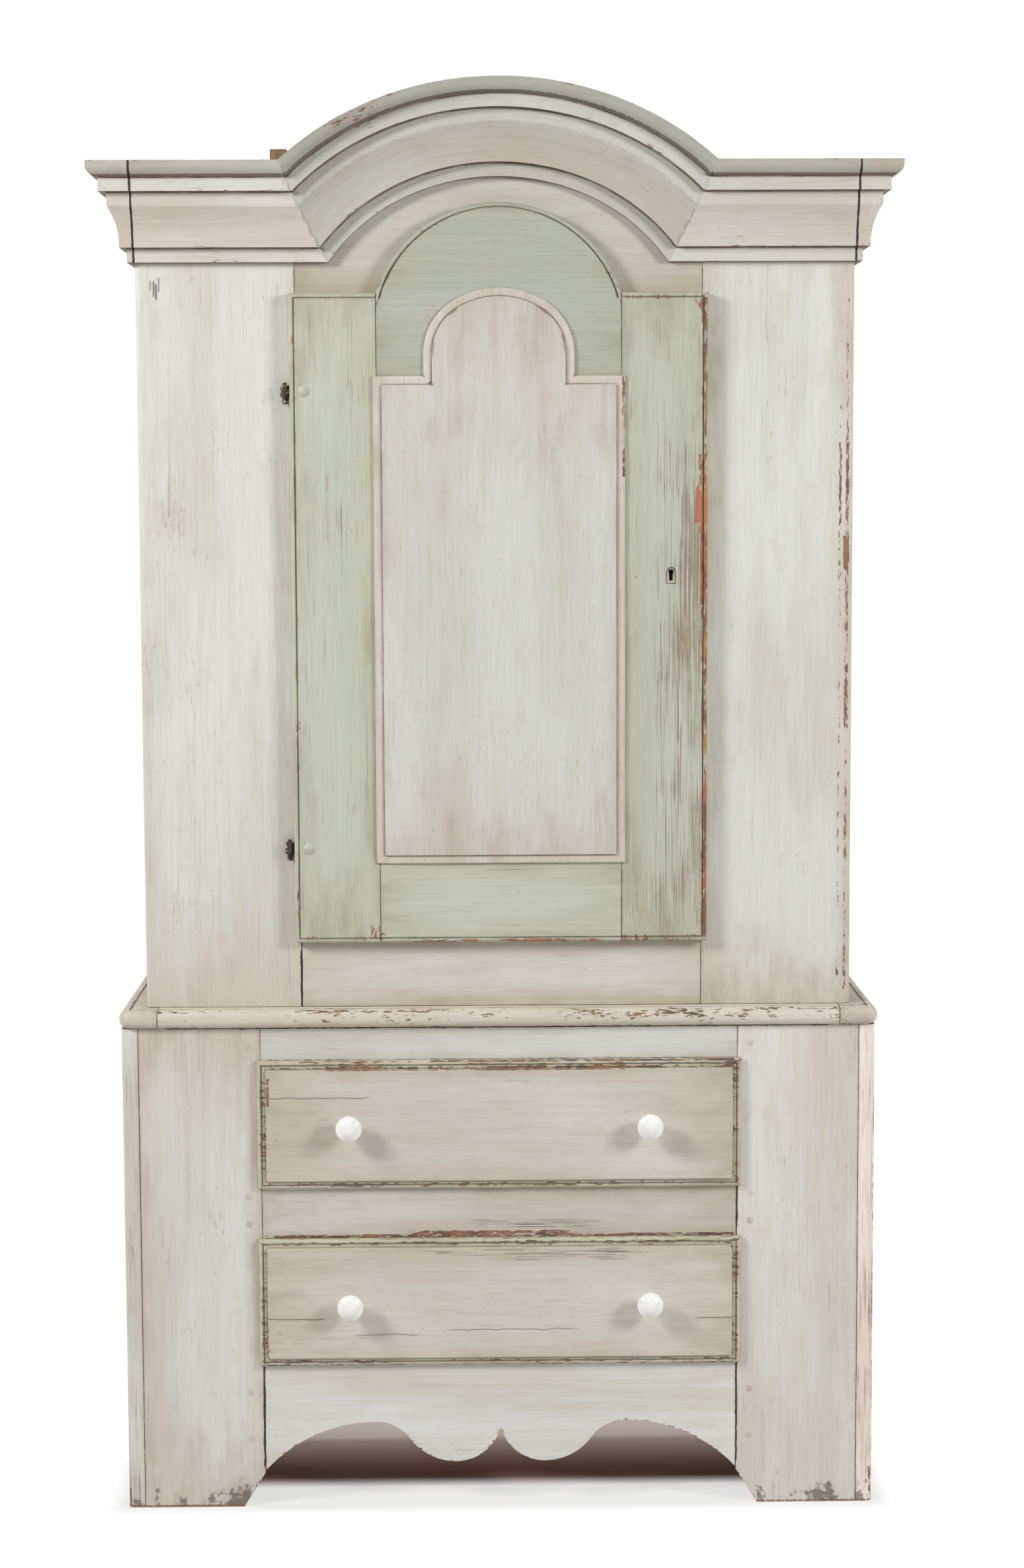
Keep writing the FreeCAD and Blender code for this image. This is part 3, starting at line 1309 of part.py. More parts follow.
# Every object has to be sound before the pieces are written.
for thing in doc.Objects:
    if "Invalid" in thing.State or "Error" in thing.State:
        raise ValueError("%s is in the state %s" % (thing.Label, thing.State))
os.makedirs("parts", exist_ok=True)
for thing in NODES:
    shape = thing.Shape
    if shape.isNull() or not shape.isValid() or not shape.Solids:
        raise ValueError("%s has no sound solid" % thing.Label)
    shape.exportStep("parts/%s.step" % thing.Label)
print(len(NODES), "pieces written")
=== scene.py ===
import json
import math
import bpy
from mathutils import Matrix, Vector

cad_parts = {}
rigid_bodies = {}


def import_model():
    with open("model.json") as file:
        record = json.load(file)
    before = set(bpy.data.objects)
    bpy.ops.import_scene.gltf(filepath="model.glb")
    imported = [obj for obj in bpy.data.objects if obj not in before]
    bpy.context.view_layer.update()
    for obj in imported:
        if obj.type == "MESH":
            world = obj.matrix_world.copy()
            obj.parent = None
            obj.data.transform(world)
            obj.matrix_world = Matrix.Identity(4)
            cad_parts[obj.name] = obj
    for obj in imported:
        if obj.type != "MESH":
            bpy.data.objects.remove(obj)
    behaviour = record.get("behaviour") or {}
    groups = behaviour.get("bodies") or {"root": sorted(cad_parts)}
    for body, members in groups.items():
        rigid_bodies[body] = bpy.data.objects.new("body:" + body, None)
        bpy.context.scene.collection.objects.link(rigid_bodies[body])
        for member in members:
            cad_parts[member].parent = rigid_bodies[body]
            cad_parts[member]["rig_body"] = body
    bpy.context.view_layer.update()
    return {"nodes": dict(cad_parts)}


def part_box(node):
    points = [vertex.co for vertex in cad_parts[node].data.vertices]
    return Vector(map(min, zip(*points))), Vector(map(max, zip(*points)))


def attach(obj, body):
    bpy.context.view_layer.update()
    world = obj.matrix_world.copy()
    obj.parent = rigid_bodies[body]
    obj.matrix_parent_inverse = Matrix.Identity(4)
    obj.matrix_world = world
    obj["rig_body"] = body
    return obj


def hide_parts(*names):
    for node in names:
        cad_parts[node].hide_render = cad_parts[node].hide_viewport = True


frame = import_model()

import zlib

import bmesh
import bpy
import numpy as np
from mathutils import Euler, Vector, noise
from mathutils.bvhtree import BVHTree

nodes = frame["nodes"]
MM = 0.001

# Photo frame and the camera that was fitted to it.
PHOTO_WIDTH = 1555
PHOTO_HEIGHT = 2380
SENSOR = 36.0
CAMERA_FOCUS_PIXELS = 4347.7
CAMERA_PLACE = (-41.4 * MM, -4308.5 * MM, 1464.1 * MM)
CAMERA_YAW = math.radians(0.865)
CAMERA_PITCH = math.radians(5.619)
CAMERA_ROLL = math.radians(-0.227)

# How the wood is worked: cells of the mesh, rounding of edges and unevenness of the faces.
CELL_ALONG = 26 * MM
CELL_ACROSS = 20 * MM
FINE_CELL = 9 * MM
BORDER_CUTS = (2 * MM, 5 * MM)
EDGE_ROUNDING = 0.7 * MM
LEAST_EDGE = 0.02 * MM
EDGE_RANGE = 30 * MM
EDGE_STEP = 5 * MM
UNEVEN_DEPTH = 0.45 * MM
UNEVEN_SCALE = 9.0
NICK_DEPTH = 1.1 * MM
NICK_SCALE = 38.0
SHARP_ANGLE = math.radians(32)
FLAT_ANGLE = math.radians(0.7)
FILLED_REACH = 12 * MM
FOOT_DIRT = 55 * MM
END_SOIL = 170 * MM
SIDE_SOIL = 45 * MM

# Direction of the grain and finish of every wooden node.
WHITE = {
    "z": ("base_side_left", "base_side_right", "base_stile_left", "base_stile_right", "case_side_left",
          "case_side_right", "case_stile_left", "case_stile_right", "door_panel"),
    "x": ("base_top_rail", "base_middle_rail", "base_apron", "waist_moulding_front", "case_bottom_rail",
          "case_tympanum", "cornice_front_left", "cornice_front_right", "upper_drawer_front",
          "lower_drawer_front"),
    "y": ("waist_moulding_left", "waist_moulding_right", "cornice_return_left", "cornice_return_right",
          "frame_pegs"),
    "arch": ("cornice_arch",),
}
GREEN = {
    "z": ("door_stile_left", "door_stile_right"),
    "x": ("door_top_rail", "door_bottom_rail"),
}
BARE = {
    "x": ("base_top_board", "base_back_lower", "base_back_upper", "case_top_board", "case_bottom_board",
          "shelf_lower", "shelf_middle", "shelf_upper", "upper_drawer_back", "upper_drawer_bottom",
          "lower_drawer_back", "lower_drawer_bottom"),
    "z": ("case_back_left", "case_back_middle", "case_back_right"),
    "y": ("upper_drawer_runners", "lower_drawer_runners", "shelf_cleats", "top_battens",
          "upper_drawer_sides", "lower_drawer_sides"),
}
FACING_ASIDE = ("base_side_left", "base_side_right", "case_side_left", "case_side_right",
                "waist_moulding_left", "waist_moulding_right", "cornice_return_left", "cornice_return_right")
FINE_NODES = ("waist_moulding_front", "waist_moulding_left", "waist_moulding_right", "cornice_arch",
              "cornice_front_left", "cornice_front_right", "cornice_return_left", "cornice_return_right")
BARE_IRON = ("lock_case", "lock_bolt", "upper_drawer_knob_bolts", "lower_drawer_knob_bolts")
HINGE_IRON = ("hinge_pintles", "hinge_knuckles")
PAINTED_IRON = ("hinge_rivets",)
PORCELAIN = ("upper_drawer_knobs", "lower_drawer_knobs")


def linear(red, green, blue):
    """A colour given as it shows on a screen, in the shader's own units."""
    def channel(value):
        value /= 255
        if value <= 0.04045:
            return value / 12.92
        return ((value + 0.055) / 1.055) ** 2.4
    return (channel(red), channel(green), channel(blue), 1.0)


class Graph:
    """A material's node tree, built by calls that return sockets."""

    def __init__(self, name):
        self.material = bpy.data.materials.new(name)
        self.material.use_nodes = True
        self.tree = self.material.node_tree
        self.tree.nodes.clear()

    def put(self, socket, value):
        if isinstance(value, bpy.types.NodeSocket):
            self.tree.links.new(value, socket)
        else:
            socket.default_value = value

    def node(self, kind, **settings):
        made = self.tree.nodes.new(kind)
        for key, value in settings.items():
            setattr(made, key, value)
        return made

    def attribute(self, name, output="Fac"):
        return self.node("ShaderNodeAttribute", attribute_name=name).outputs[output]

    def stretched(self, vector, scale):
        made = self.node("ShaderNodeMapping")
        self.put(made.inputs["Vector"], vector)
        self.put(made.inputs["Scale"], scale)
        return made.outputs["Vector"]

    def noise(self, vector, scale, detail=4.0, roughness=0.55, distortion=0.0):
        made = self.node("ShaderNodeTexNoise")
        self.put(made.inputs["Vector"], self.stretched(vector, scale))
        self.put(made.inputs["Scale"], 1.0)
        self.put(made.inputs["Detail"], detail)
        self.put(made.inputs["Roughness"], roughness)
        self.put(made.inputs["Distortion"], distortion)
        return made.outputs["Fac"]

    def math(self, operation, first, second=0.0, third=0.0):
        made = self.node("ShaderNodeMath", operation=operation)
        for socket, value in zip(made.inputs, (first, second, third)):
            self.put(socket, value)
        return made.outputs["Value"]

    def span(self, value, low, high, out_low=0.0, out_high=1.0):
        made = self.node("ShaderNodeMapRange", interpolation_type="SMOOTHSTEP")
        for name, item in (("Value", value), ("From Min", low), ("From Max", high),
                           ("To Min", out_low), ("To Max", out_high)):
            self.put(made.inputs[name], item)
        return made.outputs["Result"]

    def mix(self, share, first, second, blend="MIX"):
        made = self.node("ShaderNodeMix", data_type="RGBA", blend_type=blend)
        for socket, value in ((made.inputs[0], share), (made.inputs[6], first), (made.inputs[7], second)):
            self.put(socket, value)
        return made.outputs[2]

    def inside(self, value, span, fade):
        """One where a value lies in a span, falling to nothing over the fade."""
        middle = (span[0] + span[1]) / 2
        half = (span[1] - span[0]) / 2
        return self.span(self.math("ABSOLUTE", self.math("SUBTRACT", value, middle)), half + fade, half)

    def zones(self, x, z, table):
        """The strongest of a table of rectangular zones at each place."""
        total = 0.0
        for x_span, z_span, strength, x_fade, z_fade in table:
            share = self.math("MULTIPLY", self.inside(x, x_span, x_fade), self.inside(z, z_span, z_fade))
            total = self.math("MAXIMUM", total, self.math("MULTIPLY", share, strength))
        return total

    def surface(self, colour, roughness, height, depth, plain):
        shader = self.node("ShaderNodeBsdfPrincipled")
        self.put(shader.inputs["Base Color"], colour)
        self.put(shader.inputs["Roughness"], roughness)
        for name, value in plain.items():
            self.put(shader.inputs[name], value)
        bump = self.node("ShaderNodeBump")
        self.put(bump.inputs["Height"], height)
        self.put(bump.inputs["Strength"], 1.0)
        self.put(bump.inputs["Distance"], depth)
        self.tree.links.new(bump.outputs["Normal"], shader.inputs["Normal"])
        output = self.node("ShaderNodeOutputMaterial")
        self.tree.links.new(shader.outputs["BSDF"], output.inputs["Surface"])
        return shader


def pine(graph, grain):
    """Colour of old bare pine with growth lines along the grain."""
    waver = graph.noise(grain, (1.1, 9.0, 9.0), detail=3.0)
    rings = graph.noise(grain, (2.2, 120.0, 120.0), detail=3.0, distortion=0.6)
    lines = graph.span(graph.math("ADD", rings, graph.math("MULTIPLY", waver, 0.5)), 0.62, 0.86)
    pores = graph.noise(grain, (26.0, 620.0, 620.0), detail=2.0)
    colour = graph.mix(graph.span(waver, 0.35, 0.68), linear(176, 139, 97), linear(143, 104, 68))
    colour = graph.mix(graph.math("MULTIPLY", lines, 0.55), colour, linear(112, 75, 46))
    colour = graph.mix(graph.span(pores, 0.55, 0.75, 0.0, 0.4), colour, linear(92, 66, 45))
    return colour, lines, pores


def painted_wood(name, light, cool, warm, dirt, dark_wood, red_wood, rubbed, scored, smeared=(), split=()):
    """Worn chalky paint over red-brown wood, with bare pine on the faces that were never painted."""
    graph = Graph(name)
    grain = graph.attribute("grain", "Vector")
    edge = graph.attribute("edge")
    soil = graph.attribute("soil")
    paint = graph.attribute("paint")
    place = graph.node("ShaderNodeSeparateXYZ")
    graph.put(place.inputs["Vector"], graph.node("ShaderNodeTexCoord").outputs["Object"])

    broad = graph.noise(grain, (2.0, 9.0, 9.0), detail=5.0, roughness=0.6)
    cloud = graph.noise(grain, (9.0, 24.0, 24.0), detail=6.0, roughness=0.65)
    brush = graph.noise(grain, (4.0, 80.0, 80.0), detail=6.0, roughness=0.62)
    streak = graph.noise(grain, (7.0, 460.0, 460.0), detail=4.0, roughness=0.6)
    speck = graph.noise(grain, (130.0, 300.0, 300.0), detail=2.0)

    colour = graph.mix(graph.span(broad, 0.4, 0.62), light, cool)
    stain = graph.math("MULTIPLY_ADD", soil, 0.3, broad)
    stain = graph.math("MULTIPLY_ADD", brush, 0.3, stain)
    colour = graph.mix(graph.span(stain, 0.56, 0.98, 0.0, 0.85), colour, warm)
    foul = graph.math("MULTIPLY_ADD", soil, 0.3, cloud)
    colour = graph.mix(graph.span(foul, 0.6, 1.0, 0.0, 0.6), colour, dirt)
    colour = graph.mix(graph.span(streak, 0.46, 0.82, 0.0, 0.2), colour, dirt)
    comb = graph.noise(grain, (12.0, 190.0, 190.0), detail=5.0, roughness=0.65)
    colour = graph.mix(graph.span(comb, 0.5, 0.8, 0.0, 0.2), colour, dirt)
    mottle = graph.noise(grain, (26.0, 34.0, 34.0), detail=8.0, roughness=0.7)
    colour = graph.mix(graph.span(mottle, 0.5, 0.74, 0.0, 0.5), colour, warm)
    colour = graph.mix(graph.span(streak, 0.5, 0.24, 0.0, 0.22), colour, linear(238, 238, 234))
    # Each face's tone, which also carries painted shade: the cornice and the pieces under it darker, and the
    # cornice's steps lighter and darker.
    colour = graph.mix(1.0, colour, graph.attribute("tone", "Color"), "MULTIPLY")

    hair = graph.noise(grain, (2.6, 60.0, 60.0), detail=2.0, distortion=0.25)
    hair_line = graph.span(graph.math("ABSOLUTE", graph.math("SUBTRACT", hair, 0.5)), 0.006, 0.001)
    hair_zone = graph.span(graph.noise(grain, (1.6, 8.0, 8.0), detail=2.0), 0.56, 0.68)
    crack = graph.math("MULTIPLY", hair_line, graph.math("MULTIPLY", hair_zone, 0.45))
    waver = graph.math("MULTIPLY_ADD", graph.noise(grain, (28.0, 0.0, 0.0), detail=4.0), 9 * MM, -4.5 * MM)
    level = graph.math("ADD", place.outputs["Z"], waver)
    crack = graph.math("MAXIMUM", crack, graph.zones(place.outputs["X"], level, split))
    colour = graph.mix(graph.math("MULTIPLY", crack, 0.62), colour, linear(92, 72, 60))
    colour = graph.mix(graph.span(speck, 0.73, 0.77, 0.0, 0.6), colour, linear(110, 92, 76))

    # Dirt gathered in corners, and painted shade: ambient occlusion darkens every corner and the narrow gaps between
    # pieces.
    corner = graph.node("ShaderNodeAmbientOcclusion", samples=4)
    corner.inputs["Distance"].default_value = 9 * MM
    hidden = graph.math("SUBTRACT", 1.0, corner.outputs["AO"])
    soot_and_shade = graph.math("MULTIPLY", graph.span(hidden, 0.45, 0.95), graph.span(cloud, 0.25, 0.6, 0.4, 1.0))
    colour = graph.mix(graph.math("MULTIPLY", soot_and_shade, 0.5), colour, linear(116, 100, 80))

    ragged = graph.noise(grain, (60.0, 60.0, 60.0), detail=4.0, roughness=0.7)
    foot = graph.span(place.outputs["Z"], FOOT_DIRT, 0.0)
    smudge = graph.math("MULTIPLY_ADD", foot, 0.25, graph.math("MULTIPLY_ADD", cloud, 0.8, ragged))
    smudge = graph.math("MULTIPLY", graph.span(smudge, 1.1, 1.22, 0.0, 0.75), graph.span(foot, 0.0, 0.3))
    colour = graph.mix(smudge, colour, linear(86, 77, 76))

    # Dark lines along inward edges, with a band of dirt beside them: dirt, and painted shade where shade falls in
    # the creases.
    crease = graph.math("MULTIPLY_ADD", ragged, -1.6 * MM, graph.attribute("crease"))
    broken = graph.span(graph.noise(grain, (24.0, 24.0, 24.0), detail=3.0), 0.32, 0.6, 0.5, 1.0)
    shadow = graph.math("MULTIPLY", graph.attribute("crease_dirt_and_shade_share"), broken)
    shadow = graph.math("MULTIPLY", graph.span(crease, 1.1 * MM, 0.1 * MM), shadow)
    colour = graph.mix(shadow, colour, linear(54, 43, 35))
    colour = graph.mix(graph.span(crease, 3.2 * MM, 0.4 * MM, 0.0, 0.25), colour, dirt)
    seam = graph.math("MULTIPLY_ADD", ragged, -2.2 * MM, graph.attribute("seam"))
    colour = graph.mix(graph.span(seam, -0.2 * MM, -0.7 * MM, 0.0, 0.85), colour, linear(66, 54, 45))
    colour = graph.mix(graph.span(seam, 3 * MM, -0.5 * MM, 0.0, 0.2), colour, dirt)
    # Near-black lines along opened joints; under the waist moulding the same line is a painted shadow.
    gape_and_shadow = graph.math("MULTIPLY_ADD", ragged, -3.6 * MM, graph.attribute("gape_and_shadow"))
    colour = graph.mix(graph.span(gape_and_shadow, 0.1 * MM, -0.5 * MM, 0.0, 0.95), colour, linear(38, 32, 28))

    patch = graph.math("SUBTRACT", graph.noise(grain, (9.0, 14.0, 14.0), detail=3.0), 0.5)
    line = graph.noise(grain, (9.0, 900.0, 900.0), detail=4.0, roughness=0.6)
    line = graph.span(graph.math("MULTIPLY_ADD", patch, 0.4, line), 0.26, 0.74)
    front = graph.attribute("front")
    for table, shade in ((scored, linear(122, 94, 78)), (smeared, linear(58, 52, 60))):
        scores = graph.math("MULTIPLY", graph.zones(place.outputs["X"], place.outputs["Z"], table), front)
        score = graph.span(graph.math("SUBTRACT", scores, line), -0.04, 0.06)
        colour = graph.mix(graph.math("MULTIPLY", score, 0.68), colour, shade)
    chip = graph.noise(grain, (70.0, 300.0, 300.0), detail=6.0, roughness=0.65)
    chip = graph.span(graph.math("MULTIPLY_ADD", patch, 0.5, chip), 0.26, 0.74)
    wear = graph.math("MULTIPLY", graph.span(edge, 4 * MM, 0.0), graph.attribute("edge_rub"))
    rubs = graph.math("MULTIPLY", graph.zones(place.outputs["X"], place.outputs["Z"], rubbed), front)
    wear = graph.math("MAXIMUM", wear, rubs)
    worn = graph.math("SUBTRACT", wear, chip)
    bare = graph.span(worn, -0.02, 0.03)
    rim = graph.span(worn, -0.14, 0.0)
    tone = graph.noise(grain, (20.0, 45.0, 45.0), detail=3.0)
    fresh = graph.math("MULTIPLY_ADD", graph.span(rubs, 0.7, 0.82), 0.3, tone)
    wood = graph.mix(graph.span(fresh, 0.4, 0.64), dark_wood, red_wood)
    wood = graph.mix(graph.span(streak, 0.5, 0.72, 0.0, 0.4), wood, linear(78, 54, 46))
    wood = graph.mix(graph.span(worn, 0.12, 0.0, 0.0, 0.6), wood, linear(184, 140, 110))
    colour = graph.mix(graph.math("MULTIPLY", rim, 0.35), colour, linear(208, 190, 168))
    colour = graph.mix(graph.math("MULTIPLY", bare, 0.9), colour, wood)

    timber, lines, pores = pine(graph, grain)
    # The bare pine takes the same corner dirt and painted shade.
    timber = graph.mix(graph.math("MULTIPLY", soot_and_shade, 0.6), timber, linear(70, 55, 42))
    colour = graph.mix(paint, timber, colour)

    height = graph.math("ADD", graph.math("MULTIPLY", streak, 0.25), graph.math("MULTIPLY", brush, 0.4))
    height = graph.math("SUBTRACT", height, graph.math("MULTIPLY", bare, 0.45))
    height = graph.math("SUBTRACT", height, graph.math("MULTIPLY", crack, 0.4))
    roughness = graph.math("ADD", graph.math("MULTIPLY", cloud, 0.25), 0.45)
    roughness = graph.math("ADD", roughness, graph.math("MULTIPLY", bare, 0.12))
    graph.surface(colour, roughness, height, 0.8 * MM, {"Specular IOR Level": 0.3})
    return graph.material


def bare_wood(name, film, strength):
    """Unpainted pine with knots, dark joints and inward corners darkened as painted shade, under an uneven film of
    dirt or thin wash.
    """
    graph = Graph(name)
    grain = graph.attribute("grain", "Vector")
    colour, lines, pores = pine(graph, grain)
    knots = graph.node("ShaderNodeTexVoronoi", feature="F1")
    graph.put(knots.inputs["Vector"], graph.stretched(grain, (3.2, 7.5, 7.5)))
    graph.put(knots.inputs["Scale"], 1.0)
    knot = graph.math("MULTIPLY_ADD", lines, -0.02, knots.outputs["Distance"])
    colour = graph.mix(graph.span(knot, 0.13, 0.05, 0.0, 0.55), colour, linear(104, 66, 40))
    colour = graph.mix(graph.span(knot, 0.07, 0.05, 0.0, 0.7), colour, linear(64, 40, 27))
    cloud = graph.noise(grain, (4.0, 12.0, 12.0), detail=5.0)
    colour = graph.mix(graph.span(cloud, 0.55 - 0.2 * strength, 0.75, 0.0, strength), colour, film)
    colour = graph.mix(1.0, colour, graph.attribute("tone", "Color"), "MULTIPLY")
    colour = graph.mix(graph.span(graph.attribute("edge"), 9 * MM, 0.0, 0.0, 0.4), colour,
                       linear(84, 62, 44))
    ragged = graph.noise(grain, (60.0, 60.0, 60.0), detail=4.0, roughness=0.7)
    # Dark lines and bands along the seams, which are joints, and along the creases, where they are painted shade.
    for key in ("seam", "crease"):
        gap = graph.math("MULTIPLY_ADD", ragged, -1.4 * MM, graph.attribute(key))
        colour = graph.mix(graph.span(gap, 1.0 * MM, 0.0, 0.0, 0.85), colour, linear(34, 26, 20))
        colour = graph.mix(graph.span(gap, 12 * MM, 0.0, 0.0, 0.3), colour, linear(66, 50, 37))
    height = graph.math("ADD", graph.math("MULTIPLY", pores, 0.5), graph.math("MULTIPLY", lines, 0.4))
    roughness = graph.math("ADD", graph.math("MULTIPLY", cloud, 0.2), 0.62)
    graph.surface(colour, roughness, height, 0.5 * MM, {"Specular IOR Level": 0.3})
    return graph.material


def old_iron(name, paint_limit):
    """Dark forged iron with brown rust; the lower the limit, the more of it is covered by old paint."""
    graph = Graph(name)
    place = graph.node("ShaderNodeTexCoord").outputs["Object"]
    rust = graph.noise(place, (260.0, 260.0, 260.0), detail=6.0, roughness=0.65)
    pits = graph.noise(place, (900.0, 900.0, 900.0), detail=3.0)
    film = graph.noise(place, (150.0, 150.0, 150.0), detail=5.0, roughness=0.6)
    painted = graph.span(film, paint_limit, paint_limit + 0.03)
    colour = graph.mix(graph.span(rust, 0.45, 0.7), linear(52, 46, 41), linear(98, 66, 46))
    colour = graph.mix(graph.span(pits, 0.5, 0.8, 0.0, 0.25), colour, linear(150, 144, 134))
    colour = graph.mix(painted, colour, graph.mix(rust, linear(206, 206, 190), linear(176, 172, 152)))
    roughness = graph.math("ADD", graph.math("MULTIPLY", rust, 0.35), 0.35)
    height = graph.math("ADD", graph.math("ADD", rust, painted), graph.math("MULTIPLY", pits, 0.4))
    graph.surface(colour, roughness, height, 0.4 * MM,
                  {"Metallic": graph.math("MULTIPLY", graph.math("SUBTRACT", 1.0, painted), 0.55)})
    return graph.material


def porcelain(name):
    """Glazed porcelain, a little uneven, with faint crazing."""
    graph = Graph(name)
    place = graph.node("ShaderNodeTexCoord").outputs["Object"]
    cloud = graph.noise(place, (70.0, 70.0, 70.0), detail=3.0)
    cells = graph.node("ShaderNodeTexVoronoi", feature="DISTANCE_TO_EDGE")
    graph.put(cells.inputs["Vector"], place)
    graph.put(cells.inputs["Scale"], 170.0)
    craze = graph.span(cells.outputs["Distance"], 0.02, 0.0)
    colour = graph.mix(graph.span(cloud, 0.4, 0.7), linear(253, 253, 252), linear(246, 245, 241))
    colour = graph.mix(graph.math("MULTIPLY", craze, 0.1), colour, linear(160, 146, 122))
    roughness = graph.math("ADD", graph.math("MULTIPLY", cloud, 0.12), 0.06)
    graph.surface(colour, roughness, cloud, 0.2 * MM, {"Coat Weight": 0.4})
    return graph.material


def outline_tree():
    """All the solids at rest, for finding which edges are covered by a neighbour."""
    trees = {}
    for name, thing in nodes.items():
        mesh = thing.data
        points = [vertex.co for vertex in mesh.vertices]
        trees[name] = BVHTree.FromPolygons(points, [tuple(face.vertices) for face in mesh.polygons])
    return trees


trees = outline_tree()
boxes = {name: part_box(name) for name in nodes}

# Joints that the paint fills, so that no line shows, and joints drawn as dark gaps: opened joints, and under the
# waist moulding a painted shadow line.
FILLED_JOINTS = {frozenset(pair) for pair in (
    ("cornice_arch", "cornice_front_left"), ("cornice_arch", "cornice_front_right"),
    ("base_stile_left", "frame_pegs"), ("base_stile_right", "frame_pegs"))}
OPEN_JOINTS_AND_SHADOW_LINES = {frozenset(pair) for pair in (
    ("cornice_return_left", "cornice_front_left"), ("cornice_return_right", "cornice_front_right"),
    ("case_stile_left", "case_bottom_rail"), ("base_stile_left", "base_apron"),
    ("base_stile_right", "base_apron"), ("base_stile_right", "base_middle_rail"),
    ("waist_moulding_front", "base_top_rail"), ("waist_moulding_front", "base_stile_left"),
    ("waist_moulding_front", "base_stile_right"))}


def neighbours(name, reach):
    """The nodes whose boxes come within reach of a node's box."""
    low, high = boxes[name]
    found = []
    for other, (other_low, other_high) in boxes.items():
        apart = any(other_low[i] > high[i] + reach or other_high[i] < low[i] - reach for i in range(3))
        if other != name and not apart:
            found.append(other)
    return found


def cover(point, normal, others):
    """The node that lies close in front of a point of a face."""
    start = point - normal * 0.1 * MM
    for other in others:
        if trees[other].ray_cast(start, normal, 12 * MM)[0] is not None:
            return other
    return None


def kind_of(name, edge, point, others):
    """What an edge is at a point: an outward edge that stands free, an inward one, or a kind of joint."""
    if not edge.is_convex:
        return "crease"
    covers = []
    for loop in edge.link_loops:
        along = loop.link_loop_next.vert.co - loop.vert.co
        inward = loop.face.normal.cross(along).normalized() * 1.5 * MM
        other = cover(point + inward, loop.face.normal, others)
        if other is not None:
            covers.append(other)
    if not covers:
        return "edge"
    pair = frozenset((name, covers[0]))
    if pair in FILLED_JOINTS:
        return "filled"
    if len(covers) > 1:
        return "hidden"
    return "open" if pair in OPEN_JOINTS_AND_SHADOW_LINES else "seam"


def number_surfaces(bm, sharp):
    """Numbers the faces by the smooth surface they belong to."""
    layer = bm.faces.layers.int.new("surface")
    borders = set(sharp)
    count = 0
    for start in bm.faces:
        if start[layer] == 0:
            count += 1
            start[layer] = count
            waiting = [start]
            while waiting:
                face = waiting.pop()
                beyond = [other for edge in face.edges if edge not in borders for other in edge.link_faces]
                for other in beyond:
                    if other[layer] == 0:
                        other[layer] = count
                        waiting.append(other)
    return layer


def border_lines(name, sharp, layer):
    """The straight pieces of every surface's border, by kind and number of the surface."""
    others = neighbours(name, 12 * MM)
    found = {}
    for edge in sharp:
        first, second = edge.verts[0].co.copy(), edge.verts[1].co.copy()
        count = max(1, int((second - first).length / EDGE_STEP))
        kinds = [kind_of(name, edge, first.lerp(second, (step + 0.5) / count), others) for step in range(count)]
        start = 0
        for step in range(1, count + 1):
            if step == count or kinds[step] != kinds[start]:
                line = (np.array(first.lerp(second, start / count)), np.array(first.lerp(second, step / count)))
                for face in edge.link_faces:
                    found.setdefault((kinds[start], face[layer]), []).append(line)
                start = step
    return found


def gaps_from(lines, places):
    """Distance of each place from the nearest of some straight lines, up to the range that is kept."""
    gaps = np.full(len(places), EDGE_RANGE)
    for first, second in lines:
        along = second - first
        share = np.clip((places - first) @ along / max(along @ along, 1e-12), 0.0, 1.0)
        gaps = np.minimum(gaps, np.linalg.norm(places - first - share[:, None] * along, axis=1))
    return gaps


def corner_gaps(lines, kind, places, corner_vertex, corner_surface):
    """Distance of every face corner from the lines of a kind around its own surface."""
    gaps = np.full(len(corner_vertex), EDGE_RANGE)
    for surface in np.unique(corner_surface):
        if (kind, surface) in lines:
            chosen = np.flatnonzero(corner_surface == surface)
            vertices, back = np.unique(corner_vertex[chosen], return_inverse=True)
            gaps[chosen] = gaps_from(lines[kind, surface], places[vertices])[back]
    return gaps


def cut_into_cells(bm, cells):
    """Cuts the faces of a mesh into cells by planes across each axis, closer together along its borders."""
    for axis in range(3):
        places = [vertex.co[axis] for vertex in bm.verts]
        low, high = min(places), max(places)
        count = int((high - low) / cells[axis])
        cuts = [low + (high - low) * step / count for step in range(1, count)]
        for inset in BORDER_CUTS:
            if high - low > 4 * inset:
                cuts += [low + inset, high - inset]
        normal = Vector((0, 0, 0))
        normal[axis] = 1
        for cut in cuts:
            bmesh.ops.bisect_plane(bm, geom=bm.verts[:] + bm.edges[:] + bm.faces[:], dist=1e-6,
                                   plane_co=normal * cut, plane_no=normal)


def grain_place(point, direction, shift):
    """A point in the wood's own axes, with the grain first."""
    x, y, z = point
    if direction == "x":
        place = (x, y, z)
    elif direction == "y":
        place = (y, x, z)
    elif direction == "z":
        place = (z, x, y)
    else:
        radius = math.hypot(x - ARCH_CENTRE.x, z - ARCH_CENTRE.z)
        angle = math.atan2(x - ARCH_CENTRE.x, z - ARCH_CENTRE.z)
        place = (angle * ARCH_CENTRE.radius, radius, y)
    return Vector(place) + shift


class ArchCentre:
    """Middle of the curved cornice, worked out from its width and height."""

    def __init__(self):
        low, high = boxes["cornice_arch"]
        straight_low, straight_high = boxes["cornice_front_left"]
        self.x = (low.x + high.x) / 2
        half = (high.x - low.x) / 2
        rise = high.z - straight_high.z
        self.radius = (half * half + rise * rise) / (2 * rise)
        self.z = high.z - self.radius


ARCH_CENTRE = ArchCentre()

